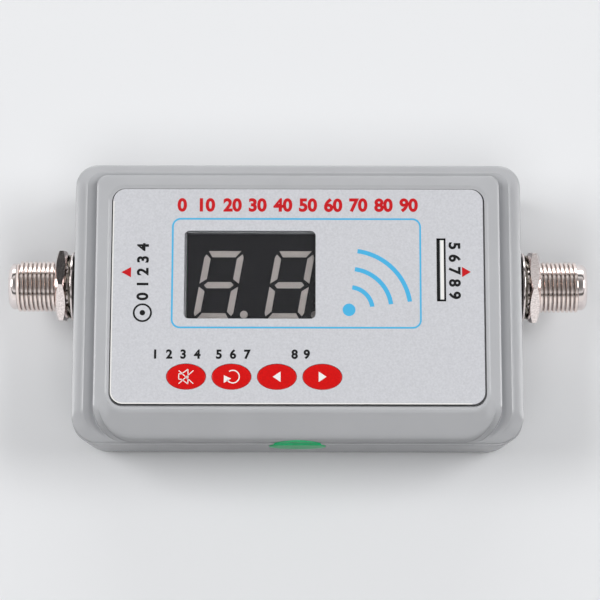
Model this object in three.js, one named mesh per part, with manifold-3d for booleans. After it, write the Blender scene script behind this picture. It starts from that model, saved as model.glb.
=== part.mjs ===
// Hand-held satellite signal meter: a two-part moulded case with a display, four keys
// and a threaded F connector at each end. Millimetres, +Z up, origin at the centre of
// the underside, connectors along X, keys towards -Y.

import * as THREE from 'three';
import { mergeVertices } from 'three/addons/utils/BufferGeometryUtils.js';
import Module from 'manifold-3d';

const wasm = await Module();
wasm.setup();

// Clearances and cuts
const seat = 0.05; // between faces that rest on each other
const stackGap = 0.1; // between washers and nut
const slideGap = 0.15; // round pieces that move or drop into a pocket
const overrun = 1; // a cut runs past its face by this
const weldTolerance = 0.0001;

// Case
const caseLength = 80.9;
const caseDepth = 51.5;
const caseHeight = 22;
const lidHeight = 5.9;
const coverGap = 0.12;
const wall = 2.2;
const farCorner = 4;
const nearCorner = 4.6;
const cornerSteps = 7;

// Bottom cover
const sideDraft = 0.45;
const nearDraft = 1.6;
const baseNearCorner = 5.6;
const baseFillet = 2;
const filletSteps = 4;
const tongueThickness = 0.9;
const tongueHeight = 0.8;
const tongueGap = 0.2;

// Label and the raised panel that carries it
const labelCorner = 2.35;
const labelThickness = 0.25;
const labelGap = 0.25;
const labelSink = 0.05;
const labelSideMargin = 6.95;
const labelFarMargin = 5.5;
const labelNearMargin = 6;
const rimWidth = 0.6;
const panelSideMargin = 2.8;
const panelFarMargin = 2.45;
const panelFarCorner = 1.6;
const panelNearCorner = 5.8;
const panelEdge = 0.15;
const panelStep = 3.3;
const panelLean = 0.2;
const panelTop = 2.2;

// Ledge round the two ends and the far side of the panel
const coveWidth = 0.4;
const coveHeight = 0.3;
const crestSideMargin = 4.95;
const crestFarMargin = 4.05;
const crestRise = 0.1;
const crestCorner = 2.4;
const ledgeFall = 0.7;
const ledgeEdge = 0.35;

// Sloping chin on the near side: how far it reaches out and drops, and its profile
const chinReach = 5.3;
const chinDrop = 4.8;
const chinShares = [
  [0.08, 0.02], [0.19, 0.07], [0.45, 0.27], [0.72, 0.49], [0.85, 0.63], [0.94, 0.78], [0.985, 0.9], [1, 1],
];

// Display
const windowLeftMargin = 0.55; // the window shows past the display on its left and far sides
const windowFarMargin = 0.35;
const windowRightInset = 1.95;
const windowNearInset = 3.05;
const windowCorner = 0.9;
const paneThickness = 0.75;
const paneLedge = 1;
const paneCorner = 0.8;
const displayPlaceShares = [-0.1097, 0.055]; // of the label's length and depth
const displayLength = 25;
const displayDepth = 19;
const displayWall = 0.9;
const displayFaceWall = 1.2;
const displayUnderPane = 0.15;
const digitShares = { pitch: 0.508, shift: -0.02, halfWidth: 0.142, dotX: 0.182 }; // of the display's length
const digitRiseShares = { halfHeight: 0.335, dotY: -0.287 }; // of its depth
const digitSlant = 0.174;
const segmentWidth = 1.2;
const segmentMiter = 0.26;
const segmentSink = 0.04;
const dotRadius = 0.72;
const substrateThickness = 1;
const pinWidth = 0.5;
const pinBelowBoard = 1.2;
const pinPitch = 2.54;
const pinsPerRow = 5;
const pinRowInset = 1.88;

// Keys and the tactile switches under them
const keyNames = ['buzzer', 'reset', 'attenuator_down', 'attenuator_up'];
const keyFirstShares = [-0.2963, -0.3725]; // of the label's length and depth
const keySpace = 1.01;
const keyLength = 7.08;
const keyDepth = 4.7;
const keyEdge = 0.08;
const keyTravel = 0.3;
const keySteps = 12;
const stemRadius = 1.7;
const stemOverlap = 0.5;
const switchSide = 6;
const switchHeight = 3.5;
const switchCorner = 0.7;
const switchLegWidth = 0.8;
const switchLegThickness = 0.3;

// Connectors
const connectorShare = 0.1125; // of the label's depth, from its centre
const connectorBelowSeam = 5.3;
const connectorReach = 52.8;
const threadRadius = 4.6;
const threadDepth = 0.4;
const faceFall = 0.9;
const faceWidth = 0.55;
const tipLength = 1.4;
const tipChamfer = 0.45;
const socketDepthShare = 0.64; // of the barrel's length
const contactRadius = 0.35;
const contactTubeRadius = 0.8;
const contactBore = 0.45;
const contactSolder = 3.4;
const flangeWidth = 11;
const flangeThickness = 1.9;
const holeGap = 0.3;
const roundSteps = 32;
const bendSteps = 3;
const washerBoreGap = 0.25;
const gasketWidth = 0.85;
const gasketThickness = 0.3;
const washerWidth = 1.45;
const washerThickness = 0.4;
const toothedWidth = 1;
const toothedThickness = 0.5;
const toothDepth = 0.75;
const toothCount = 12;
const toothShare = 0.55;
const nutWidth = 12.7;
const nutThickness = 2.05;
const nutChamfer = 0.68;
const nutTurnLeft = 0.325;
const nutTurnRight = -0.236;

// Circuit board and what stands on it
const boardSideGap = 2.05;
const boardCorner = 2;
const boardThickness = 1.6;
const boardHoleGap = 0.25;
const boardPlaceShares = {
  shield: 0.2225,
  sounder: [0.2573, 0.093],
  chip: [0.2782, -0.3023],
  choke: [-0.4033, -0.093],
  capacitor: [0.4242, 0.1047],
};
const shieldLength = 28;
const shieldDepth = 20;
const shieldHeight = 4;
const shieldCorner = 1.5;
const shieldWall = 0.5;
const sounderRadius = 6;
const sounderLidGap = 0.55;
const sounderHole = 1.2;
const sounderHoleDepth = 1;
const sounderEdge = 0.4;
const chipLength = 12.8;
const chipDepth = 7.5;
const chipHeight = 2.3;
const chipLift = 0.3;
const chipBevel = 0.35;
const chipLeads = 10;
const chipLeadPitch = 1.27;
const chipLeadWidth = 0.42;
const chipLeadReach = 1.4;
const chipLeadThickness = 0.25;
const chokeRadius = 3;
const chokeHeight = 5;
const chokeWaist = 0.9;
const chokeRim = 1;
const capacitorRadius = 2.5;
const capacitorLidGap = 0.35;
const capacitorGroove = 0.25;
const capacitorGrooveHeight = 1.2;
const capacitorEdge = 0.3;

// Case screws, their posts in the bottom cover and the bosses in the top cover
const screwInsetX = 7.6;
const screwInsetY = 7.15;
const postRadius = 3.5;
const bossRadius = 2.7;
const screwHeadRadius = 2.3;
const screwHeadHeight = 1.6;
const screwHeadEdge = 0.5;
const screwWellDepth = 3;
const screwWellGap = 0.25;
const screwRadius = 1.2;
const screwTipGap = 1.85;
const bossRoof = 1;
const screwPoint = 1;
const screwHoleGap = 0.2;
const screwSlotLength = 2.6;
const screwSlotWidth = 0.55;
const screwSlotDepth = 0.8;

// Seal sticker across the seam on the near side
const sealLength = 9;
const sealHeight = 8;
const sealThickness = 0.12;
const sealAboveSeam = 1.35;

// Levels and places that follow from the sizes above
const halfLength = caseLength / 2;
const halfDepth = caseDepth / 2;
const labelLength = caseLength - labelSideMargin * 2;
const labelDepth = caseDepth - labelFarMargin - labelNearMargin;
const labelHalfLength = labelLength / 2;
const labelHalfDepth = labelDepth / 2;
const labelY = halfDepth - labelFarMargin - labelHalfDepth;
const chinSideMargin = panelSideMargin - panelEdge;
const chinFarMargin = panelFarMargin - panelEdge;
const seamZ = caseHeight - lidHeight;
const trayTop = seamZ - coverGap;
const labelTop = caseHeight - labelSink;
const labelUnder = labelTop - labelThickness;
const recessZ = labelUnder - seat;
const paneTop = recessZ - seat;
const paneUnder = paneTop - paneThickness;
const paneSeatZ = paneUnder - seat;
const lidUnder = caseHeight - panelTop;
const displayFaceZ = paneUnder - displayUnderPane;
const axisZ = seamZ - connectorBelowSeam;
const boardUnder = axisZ + contactRadius + seat;
const boardTop = boardUnder + boardThickness;
const standZ = boardTop + seat;
const screwX = halfLength - screwInsetX;
const screwY = halfDepth - screwInsetY;
const screwPlaces = [[screwX, screwY], [-screwX, screwY], [-screwX, -screwY], [screwX, -screwY]];
const screwLength = lidUnder - bossRoof - screwTipGap - screwWellDepth + seat;
const keyFirstX = labelLength * keyFirstShares[0];
const keyY = labelDepth * keyFirstShares[1];
const keyPitch = keyLength + keySpace;
const keyCentreY = labelY + keyY;
const switchLegReach = switchLegThickness * 3;
const displayX = labelLength * displayPlaceShares[0];
const displayY = labelDepth * displayPlaceShares[1];
const displayCentreY = labelY + displayY;
const digitPitch = displayLength * digitShares.pitch;
const digitHalfWidth = displayLength * digitShares.halfWidth;
const digitHalfHeight = displayDepth * digitRiseShares.halfHeight;
const pinRowSpacing = displayDepth - pinRowInset * 2;
const connectorCentreY = labelY + labelDepth * connectorShare;
const threadHole = threadRadius + holeGap;
const tipRadius = threadRadius - threadDepth;
const faceRadius = tipRadius - faceFall;
const socketRadius = faceRadius - faceWidth;
const washerBore = threadRadius + washerBoreGap;
const flangeInner = halfLength - wall - sideDraft - seat - flangeThickness;
const socketDepth = (connectorReach - flangeInner) * socketDepthShare;
const boardLength = (flangeInner - seat) * 2;
const boardDepth = caseDepth - (wall + boardSideGap) * 2;

// Finishes
function finish(color, roughness, metalness = 0) {
  return new THREE.MeshStandardMaterial({ color, roughness, metalness });
}

const caseFinish = () => finish(0xb9bbbf, 0.5);
const labelFinish = () => finish(0xcdcfd6, 0.35);
const keyFinish = () => finish(0xd81e20, 0.4);
const stemFinish = () => finish(0x26262a, 0.5);
const displayFinish = () => finish(0x26272c, 0.45);
const segmentFinish = () => finish(0xa9a29e, 0.5);
const paneFinish = () => finish(0x2b2c33, 0.1);
const nickelFinish = () => finish(0xc9c4bd, 0.25, 1);
const steelFinish = () => finish(0x8d8b88, 0.4, 1);
const rubberFinish = () => finish(0x1b1b1d, 0.8);
const goldFinish = () => finish(0xc9a557, 0.3, 1);
const boardFinish = () => finish(0x1f6b3a, 0.5);
const whiteFinish = () => finish(0xe9e7e0, 0.5);
const blackFinish = () => finish(0x1d1d20, 0.5);
const sealFinish = () => finish(0x1f9a4c, 0.45);

const meter = new THREE.Group();

// Geometry helpers

function weld(geometry) {
  const bare = geometry.clone();
  bare.deleteAttribute('normal');
  bare.deleteAttribute('uv');
  const merged = mergeVertices(bare, weldTolerance);
  const corners = [];
  for (let i = 0; i < merged.index.count; i += 3) {
    const [a, b, c] = [0, 1, 2].map((k) => merged.index.getX(i + k));
    if (a !== b && b !== c && c !== a) corners.push(a, b, c);
  }
  merged.setIndex(corners);
  return merged;
}

function toSolid(geometry) {
  const merged = weld(geometry);
  const vertProperties = new Float32Array(merged.attributes.position.array);
  const triVerts = new Uint32Array(merged.index.array);
  return new wasm.Manifold(new wasm.Mesh({ numProp: 3, vertProperties, triVerts }));
}

function toGeometry(solid) {
  const mesh = solid.getMesh();
  const geometry = new THREE.BufferGeometry();
  geometry.setAttribute('position', new THREE.BufferAttribute(new Float32Array(mesh.vertProperties), 3));
  geometry.setIndex(new THREE.BufferAttribute(new Uint32Array(mesh.triVerts), 1));
  geometry.computeVertexNormals();
  return geometry;
}

function joined(geometries) {
  return geometries.map(toSolid).reduce((whole, solid) => whole.add(solid));
}

function addPiece(parent, name, geometry, material, x = 0, y = 0, z = 0) {
  const mesh = new THREE.Mesh(geometry, material);
  mesh.name = name;
  mesh.position.set(x, y, z);
  parent.add(mesh);
  return mesh;
}

function roundedShape(length, depth, corner) {
  const x = length / 2;
  const y = depth / 2;
  const shape = new THREE.Shape();
  shape.absarc(x - corner, y - corner, corner, 0, Math.PI / 2);
  shape.absarc(corner - x, y - corner, corner, Math.PI / 2, Math.PI);
  shape.absarc(corner - x, corner - y, corner, Math.PI, Math.PI * 1.5);
  shape.absarc(x - corner, corner - y, corner, Math.PI * 1.5, Math.PI * 2);
  return shape;
}

// A round or oval hole, sampled so that it keeps its own number of sides
function ovalHole(x, y, length, depth, sides) {
  const path = new THREE.Path();
  path.absellipse(x, y, length / 2, depth / 2, 0, Math.PI * 2);
  return new THREE.Path(path.getPoints(sides / 2));
}

function ovalShape(length, depth) {
  const shape = new THREE.Shape();
  shape.absellipse(0, 0, length / 2, depth / 2, 0, Math.PI * 2);
  return shape;
}

// An upright prism between two heights
function prism(shape, bottom, top, curveSegments = bendSteps) {
  const options = { depth: top - bottom, bevelEnabled: false, curveSegments };
  return new THREE.ExtrudeGeometry(shape, options).translate(0, 0, bottom);
}

function box(length, depth, bottom, top, x = 0, y = 0) {
  return new THREE.BoxGeometry(length, depth, top - bottom).translate(x, y, (bottom + top) / 2);
}

function disc(radius, bottom, top, x = 0, y = 0, steps = roundSteps) {
  const geometry = new THREE.CylinderGeometry(radius, radius, top - bottom, steps);
  return geometry.rotateX(Math.PI / 2).translate(x, y, (bottom + top) / 2);
}

// A section drawn in Y and Z, run along X over a length from a start
function alongX(shape, start, length, curveSegments = bendSteps) {
  const geometry = new THREE.ExtrudeGeometry(shape, { depth: length, bevelEnabled: false, curveSegments });
  const basis = new THREE.Matrix4().makeBasis(
    new THREE.Vector3(0, 1, 0),
    new THREE.Vector3(0, 0, 1),
    new THREE.Vector3(1, 0, 0),
  );
  return geometry.applyMatrix4(basis).translate(start, 0, 0);
}

// A turned piece about the Z axis, from a profile of radius and height
function turned(profile, steps = roundSteps) {
  const points = profile.map(([radius, height]) => new THREE.Vector2(radius, height));
  return new THREE.LatheGeometry(points, steps).rotateX(Math.PI / 2);
}

// Case rings: rounded rectangles whose near side may sit lower than the ends and far side

function ring({ halfX, near, far, nearRadius, farRadius, sideZ, nearZ = sideZ, farZ = sideZ }) {
  const corners = [
    { x: halfX - nearRadius, y: near + nearRadius, radius: nearRadius, from: nearZ, to: sideZ },
    { x: halfX - farRadius, y: far - farRadius, radius: farRadius, from: sideZ, to: farZ },
    { x: farRadius - halfX, y: far - farRadius, radius: farRadius, from: farZ, to: sideZ },
    { x: nearRadius - halfX, y: near + nearRadius, radius: nearRadius, from: sideZ, to: nearZ },
  ];
  const points = [];
  corners.forEach((corner, turn) => {
    for (let step = 0; step <= cornerSteps; step += 1) {
      const share = step / cornerSteps;
      const angle = (turn - 1 + share) * (Math.PI / 2);
      const x = corner.x + corner.radius * Math.cos(angle);
      const y = corner.y + corner.radius * Math.sin(angle);
      const z = THREE.MathUtils.lerp(corner.from, corner.to, THREE.MathUtils.smoothstep(share, 0, 1));
      points.push(new THREE.Vector3(x, y, z));
    }
  });
  return points;
}

// A closed solid through rings that run from the top down
function loft(rings) {
  const count = rings[0].length;
  const vertices = rings.flat();
  const topCentre = vertices.length;
  const bottomCentre = topCentre + 1;
  const last = (rings.length - 1) * count;
  const centreOf = (points) => points.reduce((sum, p) => sum.add(p), new THREE.Vector3()).divideScalar(count);
  vertices.push(centreOf(rings[0]), centreOf(rings[rings.length - 1]));
  const corners = [];
  for (let i = 0; i < count; i += 1) {
    const j = (i + 1) % count;
    corners.push(topCentre, i, j, bottomCentre, last + j, last + i);
    for (let start = 0; start < last; start += count) {
      const below = start + count;
      corners.push(start + i, below + i, below + j, start + i, below + j, start + j);
    }
  }
  const geometry = new THREE.BufferGeometry().setFromPoints(vertices);
  geometry.setIndex(corners);
  return geometry;
}

// A ring placed by its margins beyond the label and its drop below the panel's face
function marginRing(side, far, near, farRadius, nearRadius, sideDrop, nearDrop) {
  return ring({
    halfX: labelHalfLength + side,
    far: labelY + labelHalfDepth + far,
    near: labelY - labelHalfDepth - near,
    farRadius,
    nearRadius,
    sideZ: caseHeight - sideDrop,
    nearZ: caseHeight - nearDrop,
  });
}

// Top cover

function chinRings() {
  const rimCorner = labelCorner + rimWidth;
  const start = marginRing(rimWidth, rimWidth, rimWidth, rimCorner, rimCorner, 0, 0);
  const mix = THREE.MathUtils.lerp;
  return [start, ...chinShares.map(([out, down]) => marginRing(
    mix(rimWidth, chinSideMargin, out),
    mix(rimWidth, chinFarMargin, out),
    rimWidth + chinReach * out,
    mix(rimCorner, panelFarCorner, out),
    mix(rimCorner, panelNearCorner, out),
    0,
    chinDrop * down,
  ))];
}

// Rings from the panel's edge down its wall, over the ledge and down to the seam
function ledgeRings() {
  const wallSide = panelSideMargin + panelLean;
  const wallFar = panelFarMargin + panelLean;
  const steps = [
    [panelSideMargin, panelFarMargin, panelFarCorner, panelNearCorner, panelEdge],
    [wallSide, wallFar, panelFarCorner, panelNearCorner, panelStep - coveHeight],
    [wallSide + coveWidth, wallFar + coveWidth, panelFarCorner, panelNearCorner, panelStep],
    [crestSideMargin, crestFarMargin, crestCorner, panelNearCorner, panelStep - crestRise],
    [labelSideMargin - ledgeEdge, labelFarMargin - ledgeEdge, farCorner, nearCorner, panelStep + ledgeFall],
    [labelSideMargin, labelFarMargin, farCorner, nearCorner, panelStep + ledgeFall + ledgeEdge],
    [labelSideMargin, labelFarMargin, farCorner, nearCorner, lidHeight],
  ];
  const chinEdge = rimWidth + chinReach;
  return steps.map(([side, far, farRadius, nearRadius, drop], index) => {
    const share = (index + 1) / steps.length;
    const near = THREE.MathUtils.lerp(chinEdge, labelNearMargin, share);
    const nearDrop = THREE.MathUtils.lerp(chinDrop, lidHeight, share);
    return marginRing(side, far, near, farRadius, nearRadius, drop, nearDrop);
  });
}

function lidCavity() {
  const halfX = labelHalfLength + panelSideMargin - wall;
  const far = labelY + labelHalfDepth + panelFarMargin - wall;
  const radius = { nearRadius: nearCorner, farRadius: farCorner - wall };
  const highNear = wall - rimWidth - chinReach * chinShares[1][0] - labelHalfDepth + labelY;
  const lowNear = wall - halfDepth;
  return loft([
    ring({ halfX, far, near: highNear, sideZ: lidUnder, ...radius }),
    ring({ halfX, far, near: lowNear, sideZ: (lidUnder + seamZ) / 2, ...radius }),
    ring({ halfX, far, near: lowNear, sideZ: seamZ - overrun, ...radius }),
  ]);
}

// Rebate under the rim that takes the bottom cover's tongue
function lidRebate() {
  const inset = wall - tongueThickness - tongueGap;
  const plan = {
    halfX: halfLength - inset,
    far: halfDepth - inset,
    near: inset - halfDepth,
    nearRadius: nearCorner - inset,
    farRadius: farCorner - inset,
  };
  const rebateTop = trayTop + tongueHeight + tongueGap;
  return loft([ring({ ...plan, sideZ: rebateTop }), ring({ ...plan, sideZ: seamZ - overrun })]);
}

function keyX(index) {
  return keyFirstX + keyPitch * index;
}

function topCoverSolid() {
  let cover = toSolid(loft([...chinRings(), ...ledgeRings()]));
  cover = cover.subtract(toSolid(lidCavity())).subtract(toSolid(lidRebate()));
  for (const [x, y] of screwPlaces) {
    cover = cover.add(toSolid(disc(bossRadius, standZ, lidUnder + seat, x, y, roundSteps / 2)));
    const holeTop = lidUnder - bossRoof;
    const hole = disc(screwRadius + screwHoleGap, standZ - overrun, holeTop, x, y, roundSteps / 2);
    cover = cover.subtract(toSolid(hole));
  }
  const recess = roundedShape(labelLength + labelGap * 2, labelDepth + labelGap * 2, labelCorner + labelGap);
  cover = cover.subtract(toSolid(prism(recess, recessZ, caseHeight + overrun).translate(0, labelY, 0)));
  cover = cover.subtract(connectorRelief(-1)).subtract(connectorRelief(1));
  return cover.subtract(displayOpening()).subtract(keyOpenings());
}

// Room for a connector's thread and flange, which cuts the top cover only where they reach it
function connectorRelief(side) {
  const thread = disc(threadHole, flangeInner, halfLength + overrun, 0, 0, roundSteps / 2);
  const pocketTop = flangeInner + flangeThickness + seat;
  const pocket = prism(hexagon(flangeWidth + seat * 2), flangeInner - seat, pocketTop);
  return joined([thread, pocket.rotateZ(Math.PI / 6)].map((geometry) => (
    geometry.rotateY((side * Math.PI) / 2).translate(0, connectorCentreY, axisZ)
  )));
}

// Stepped opening: the pane drops in from above, the display comes up from below
function displayOpening() {
  const paneWidth = (displayWidth) => displayWidth + (paneLedge + slideGap) * 2;
  const paneSeat = roundedShape(paneWidth(displayLength), paneWidth(displayDepth), paneCorner + slideGap);
  const gap = slideGap * 2;
  const through = box(displayLength + gap, displayDepth + gap, lidUnder - overrun, caseHeight);
  const opening = toSolid(prism(paneSeat, paneSeatZ, caseHeight)).add(toSolid(through));
  return opening.translate([displayX, displayCentreY, 0]);
}

// Under each key: an oval pocket for its travel and a round hole for its stem
function keyOpenings() {
  const cuts = keyNames.map((name, index) => {
    const pocket = ovalShape(keyLength + slideGap * 2, keyDepth + slideGap * 2);
    const pocketZ = labelUnder - keyTravel - seat * 2;
    const top = prism(pocket, pocketZ, caseHeight, keySteps);
    const hole = disc(stemRadius + slideGap, lidUnder - overrun, caseHeight, 0, 0, roundSteps / 2);
    return joined([top, hole]).translate([keyX(index), keyCentreY, 0]);
  });
  return cuts.reduce((all, cut) => all.add(cut));
}

// Bottom cover

// A ring of the tray at a height, drawn in by its draft and an inset
function trayRing(z, inset) {
  const share = 1 - z / trayTop;
  return ring({
    halfX: halfLength - sideDraft * share - inset,
    far: halfDepth - sideDraft * share - inset,
    near: nearDraft * share + inset - halfDepth,
    nearRadius: THREE.MathUtils.lerp(nearCorner, baseNearCorner, share) - inset,
    farRadius: Math.max(farCorner - inset, wall / 2),
    sideZ: z,
  });
}

function trayOuterRings() {
  const rings = [trayRing(trayTop, 0)];
  for (let step = 0; step <= filletSteps; step += 1) {
    const angle = (step / filletSteps) * (Math.PI / 2);
    rings.push(trayRing(baseFillet * (1 - Math.sin(angle)), baseFillet * (1 - Math.cos(angle))));
  }
  return rings;
}

function tongueRing(z) {
  const inset = wall - tongueThickness;
  return trayRing(trayTop, inset).map((point) => point.setZ(z));
}

// A slot for a connector, open at the rim so that the soldered board drops in
function connectorSlot(side) {
  const shape = new THREE.Shape();
  shape.moveTo(threadHole, caseHeight);
  shape.lineTo(threadHole, axisZ);
  shape.absarc(0, axisZ, threadHole, 0, -Math.PI, true);
  shape.lineTo(-threadHole, caseHeight);
  const length = wall * 2 + overrun;
  const slot = alongX(shape, side * halfLength - length / 2, length, roundSteps / 4);
  return slot.translate(0, connectorCentreY, 0);
}

function bottomCoverSolid() {
  let cover = toSolid(loft(trayOuterRings()));
  cover = cover.add(toSolid(loft([tongueRing(trayTop + tongueHeight), tongueRing(trayTop - wall)])));
  const rimRing = trayRing(trayTop, wall).map((point) => point.setZ(trayTop + tongueHeight + overrun));
  cover = cover.subtract(toSolid(loft([rimRing, trayRing(trayTop, wall), trayRing(wall, wall)])));
  for (const side of [1, -1]) cover = cover.subtract(toSolid(connectorSlot(side)));
  for (const [x, y] of screwPlaces) {
    cover = cover.add(toSolid(disc(postRadius, wall / 2, boardUnder - seat, x, y, roundSteps / 2)));
    const well = disc(screwHeadRadius + screwWellGap, -overrun, screwWellDepth, x, y, roundSteps / 2);
    const hole = disc(screwRadius + screwHoleGap, 0, boardUnder + overrun, x, y, roundSteps / 2);
    cover = cover.subtract(joined([well, hole]));
  }
  return cover;
}

function addCase() {
  addPiece(meter, 'top_cover', toGeometry(topCoverSolid()), caseFinish());
  addPiece(meter, 'bottom_cover', toGeometry(bottomCoverSolid()), caseFinish());
}

// Label, pane and keys

function addLabel() {
  const shape = roundedShape(labelLength, labelDepth, labelCorner);
  const windowLength = displayLength + windowLeftMargin - windowRightInset;
  const windowDepth = displayDepth + windowFarMargin - windowNearInset;
  const windowX = displayX - (windowLeftMargin + windowRightInset) / 2;
  const windowY = displayY + (windowFarMargin + windowNearInset) / 2;
  const opening = roundedShape(windowLength, windowDepth, windowCorner);
  const middle = new THREE.Vector2(windowX, windowY);
  shape.holes.push(new THREE.Path(opening.getPoints(bendSteps).map((point) => point.add(middle))));
  keyNames.forEach((name, index) => {
    const [length, depth] = [keyLength + slideGap * 2, keyDepth + slideGap * 2];
    shape.holes.push(ovalHole(keyX(index), keyY, length, depth, keySteps * 2));
  });
  addPiece(meter, 'face_label', prism(shape, 0, labelThickness), labelFinish(), 0, labelY, labelUnder);
}

function addPane() {
  const shape = roundedShape(displayLength + paneLedge * 2, displayDepth + paneLedge * 2, paneCorner);
  const pane = prism(shape, 0, paneThickness);
  addPiece(meter, 'display_pane', pane, paneFinish(), displayX, displayCentreY, paneUnder);
}

function keyPad() {
  const options = {
    depth: labelThickness - keyEdge * 2,
    bevelThickness: keyEdge,
    bevelSize: keyEdge,
    bevelOffset: -keyEdge,
    bevelSegments: 1,
    curveSegments: keySteps,
  };
  return new THREE.ExtrudeGeometry(ovalShape(keyLength, keyDepth), options).translate(0, 0, keyEdge);
}

function switchBody() {
  const body = prism(roundedShape(switchSide, switchSide, switchCorner), 0, switchHeight, 1);
  const boreBottom = switchHeight - stemOverlap - keyTravel * 2;
  const bore = disc(stemRadius + slideGap, boreBottom, switchHeight + overrun, 0, 0, roundSteps / 2);
  const reach = switchSide / 2 + switchLegReach;
  const legs = [-1, 1].map((row) => {
    const y = (row * switchSide) / 2 - row * switchCorner * 2;
    return box(reach * 2, switchLegWidth, 0, switchLegThickness, 0, y);
  });
  return toGeometry(joined([body, ...legs]).subtract(toSolid(bore)));
}

function addKeys() {
  const stemBottom = standZ + switchHeight - stemOverlap;
  const stem = disc(stemRadius, 0, labelUnder - seat - stemBottom, 0, 0, roundSteps / 2);
  keyNames.forEach((name, index) => {
    const place = [keyX(index), keyCentreY];
    addPiece(meter, `${name}_key`, keyPad(), keyFinish(), ...place, labelUnder);
    addPiece(meter, `${name}_stem`, stem.clone(), stemFinish(), ...place, stemBottom);
    addPiece(meter, `${name}_switch`, switchBody(), blackFinish(), ...place, standZ);
  });
}

// Display: a housing with segment slots, the resin that fills them and the pinned substrate

// A convex outline drawn in by an inset
function insetOutline(points, inset) {
  return points.map((point, index) => {
    const back = points.at(index - 1).clone().sub(point).normalize();
    const ahead = points[(index + 1) % points.length].clone().sub(point).normalize();
    const halfSine = Math.sqrt((1 - back.dot(ahead)) / 2);
    return back.add(ahead).setLength(inset / halfSine).add(point);
  });
}

// Outlines of a digit's seven segments and dot, leaning to the right
function digitShapes(inset) {
  const inner = digitHalfWidth - segmentWidth;
  const under = digitHalfHeight - segmentWidth;
  const half = segmentWidth / 2;
  const tip = digitHalfWidth - half - segmentMiter;
  const blunt = tip - half;
  const crossbar = [[-tip, 0], [-blunt, half], [blunt, half], [tip, 0], [blunt, -half], [-blunt, -half]];
  const capEnd = tip + segmentMiter;
  const capFoot = inner - segmentMiter;
  const cap = [[-capEnd, digitHalfHeight], [capEnd, digitHalfHeight], [capFoot, under], [-capFoot, under]];
  const upright = [
    [digitHalfWidth, segmentMiter],
    [digitHalfWidth, under],
    [digitHalfWidth - half / 2, under + half],
    [inner, under - segmentMiter],
    [inner, half + segmentMiter * 2],
  ];
  const flip = (points, sx, sy) => points.map(([x, y]) => [x * sx, y * sy]);
  const uprights = [[1, 1], [-1, 1], [1, -1], [-1, -1]].map(([sx, sy]) => flip(upright, sx, sy));
  const outlines = [crossbar, cap, flip(cap, 1, -1), ...uprights];
  const shapes = outlines.map((points) => {
    const leaning = points.map(([x, y]) => new THREE.Vector2(x + y * digitSlant, y));
    return new THREE.Shape(insetOutline(leaning, inset));
  });
  const dotX = displayLength * digitShares.dotX;
  const dotY = displayDepth * digitRiseShares.dotY;
  const dot = ovalHole(dotX, dotY, (dotRadius - inset) * 2, (dotRadius - inset) * 2, roundSteps / 2);
  return [...shapes, new THREE.Shape(dot.getPoints())];
}

function digitPrisms(inset, bottom, top) {
  return [-1, 1].flatMap((side) => {
    const x = displayLength * digitShares.shift + (side * digitPitch) / 2;
    return digitShapes(inset).map((shape) => prism(shape, bottom, top).translate(x, 0, 0));
  });
}

function pinPlaces() {
  const places = [];
  for (let column = 0; column < pinsPerRow; column += 1) {
    const x = (column - (pinsPerRow - 1) / 2) * pinPitch;
    places.push([x, pinRowSpacing / 2], [x, -pinRowSpacing / 2]);
  }
  return places;
}

function addDisplay() {
  const height = displayFaceZ - standZ;
  const innerLength = displayLength - displayWall * 2;
  const innerDepth = displayDepth - displayWall * 2;
  const place = [displayX, displayCentreY, standZ];
  const housing = toSolid(box(displayLength, displayDepth, 0, height))
    .subtract(toSolid(box(innerLength, innerDepth, -overrun, height - displayFaceWall)))
    .subtract(joined(digitPrisms(0, height - displayFaceWall - overrun, height + overrun)));
  addPiece(meter, 'display_housing', toGeometry(housing), displayFinish(), ...place);

  const resinTop = height - displayFaceWall - seat;
  const resinBottom = substrateThickness + seat;
  const slab = box(innerLength - seat * 2, innerDepth - seat * 2, resinBottom, resinTop);
  const resin = joined([slab, ...digitPrisms(seat / 2, resinTop - seat, height - segmentSink)]);
  addPiece(meter, 'display_segments', toGeometry(resin), segmentFinish(), ...place);

  const plate = box(innerLength - seat * 2, innerDepth - seat * 2, 0, substrateThickness);
  const pinBottom = -seat - boardThickness - pinBelowBoard;
  const pins = pinPlaces().map(([x, y]) => box(pinWidth, pinWidth, pinBottom, substrateThickness / 2, x, y));
  addPiece(meter, 'display_substrate', toGeometry(joined([plate, ...pins])), boardFinish(), ...place);
}

// Circuit board and its larger parts

function addBoard() {
  const shape = roundedShape(boardLength, boardDepth, boardCorner);
  const holes = screwPlaces.map(([x, y]) => [x, y, screwRadius + screwHoleGap, roundSteps / 2]);
  const pinHole = (pinWidth / 2 + boardHoleGap) * Math.SQRT2;
  pinPlaces().forEach(([x, y]) => holes.push([x + displayX, y + displayCentreY, pinHole, bendSteps * 2]));
  holes.forEach(([x, y, radius, sides]) => shape.holes.push(ovalHole(x, y, radius * 2, radius * 2, sides)));
  addPiece(meter, 'main_board', prism(shape, 0, boardThickness), boardFinish(), 0, 0, boardUnder);
}

// A part's place on the board
function boardPlace([lengthShare, depthShare]) {
  return [boardLength * lengthShare, boardDepth * depthShare];
}

function addShield() {
  const outer = prism(roundedShape(shieldLength, shieldDepth, shieldCorner), 0, shieldHeight);
  const [length, depth] = [shieldLength - shieldWall * 2, shieldDepth - shieldWall * 2];
  const innerShape = roundedShape(length, depth, shieldCorner - shieldWall);
  const inner = prism(innerShape, shieldWall, shieldHeight + overrun);
  const can = toGeometry(toSolid(outer).subtract(toSolid(inner)));
  const place = [boardLength * boardPlaceShares.shield, connectorCentreY];
  addPiece(meter, 'shield_can', can, steelFinish(), ...place, boardUnder - seat - shieldHeight);
}

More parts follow.
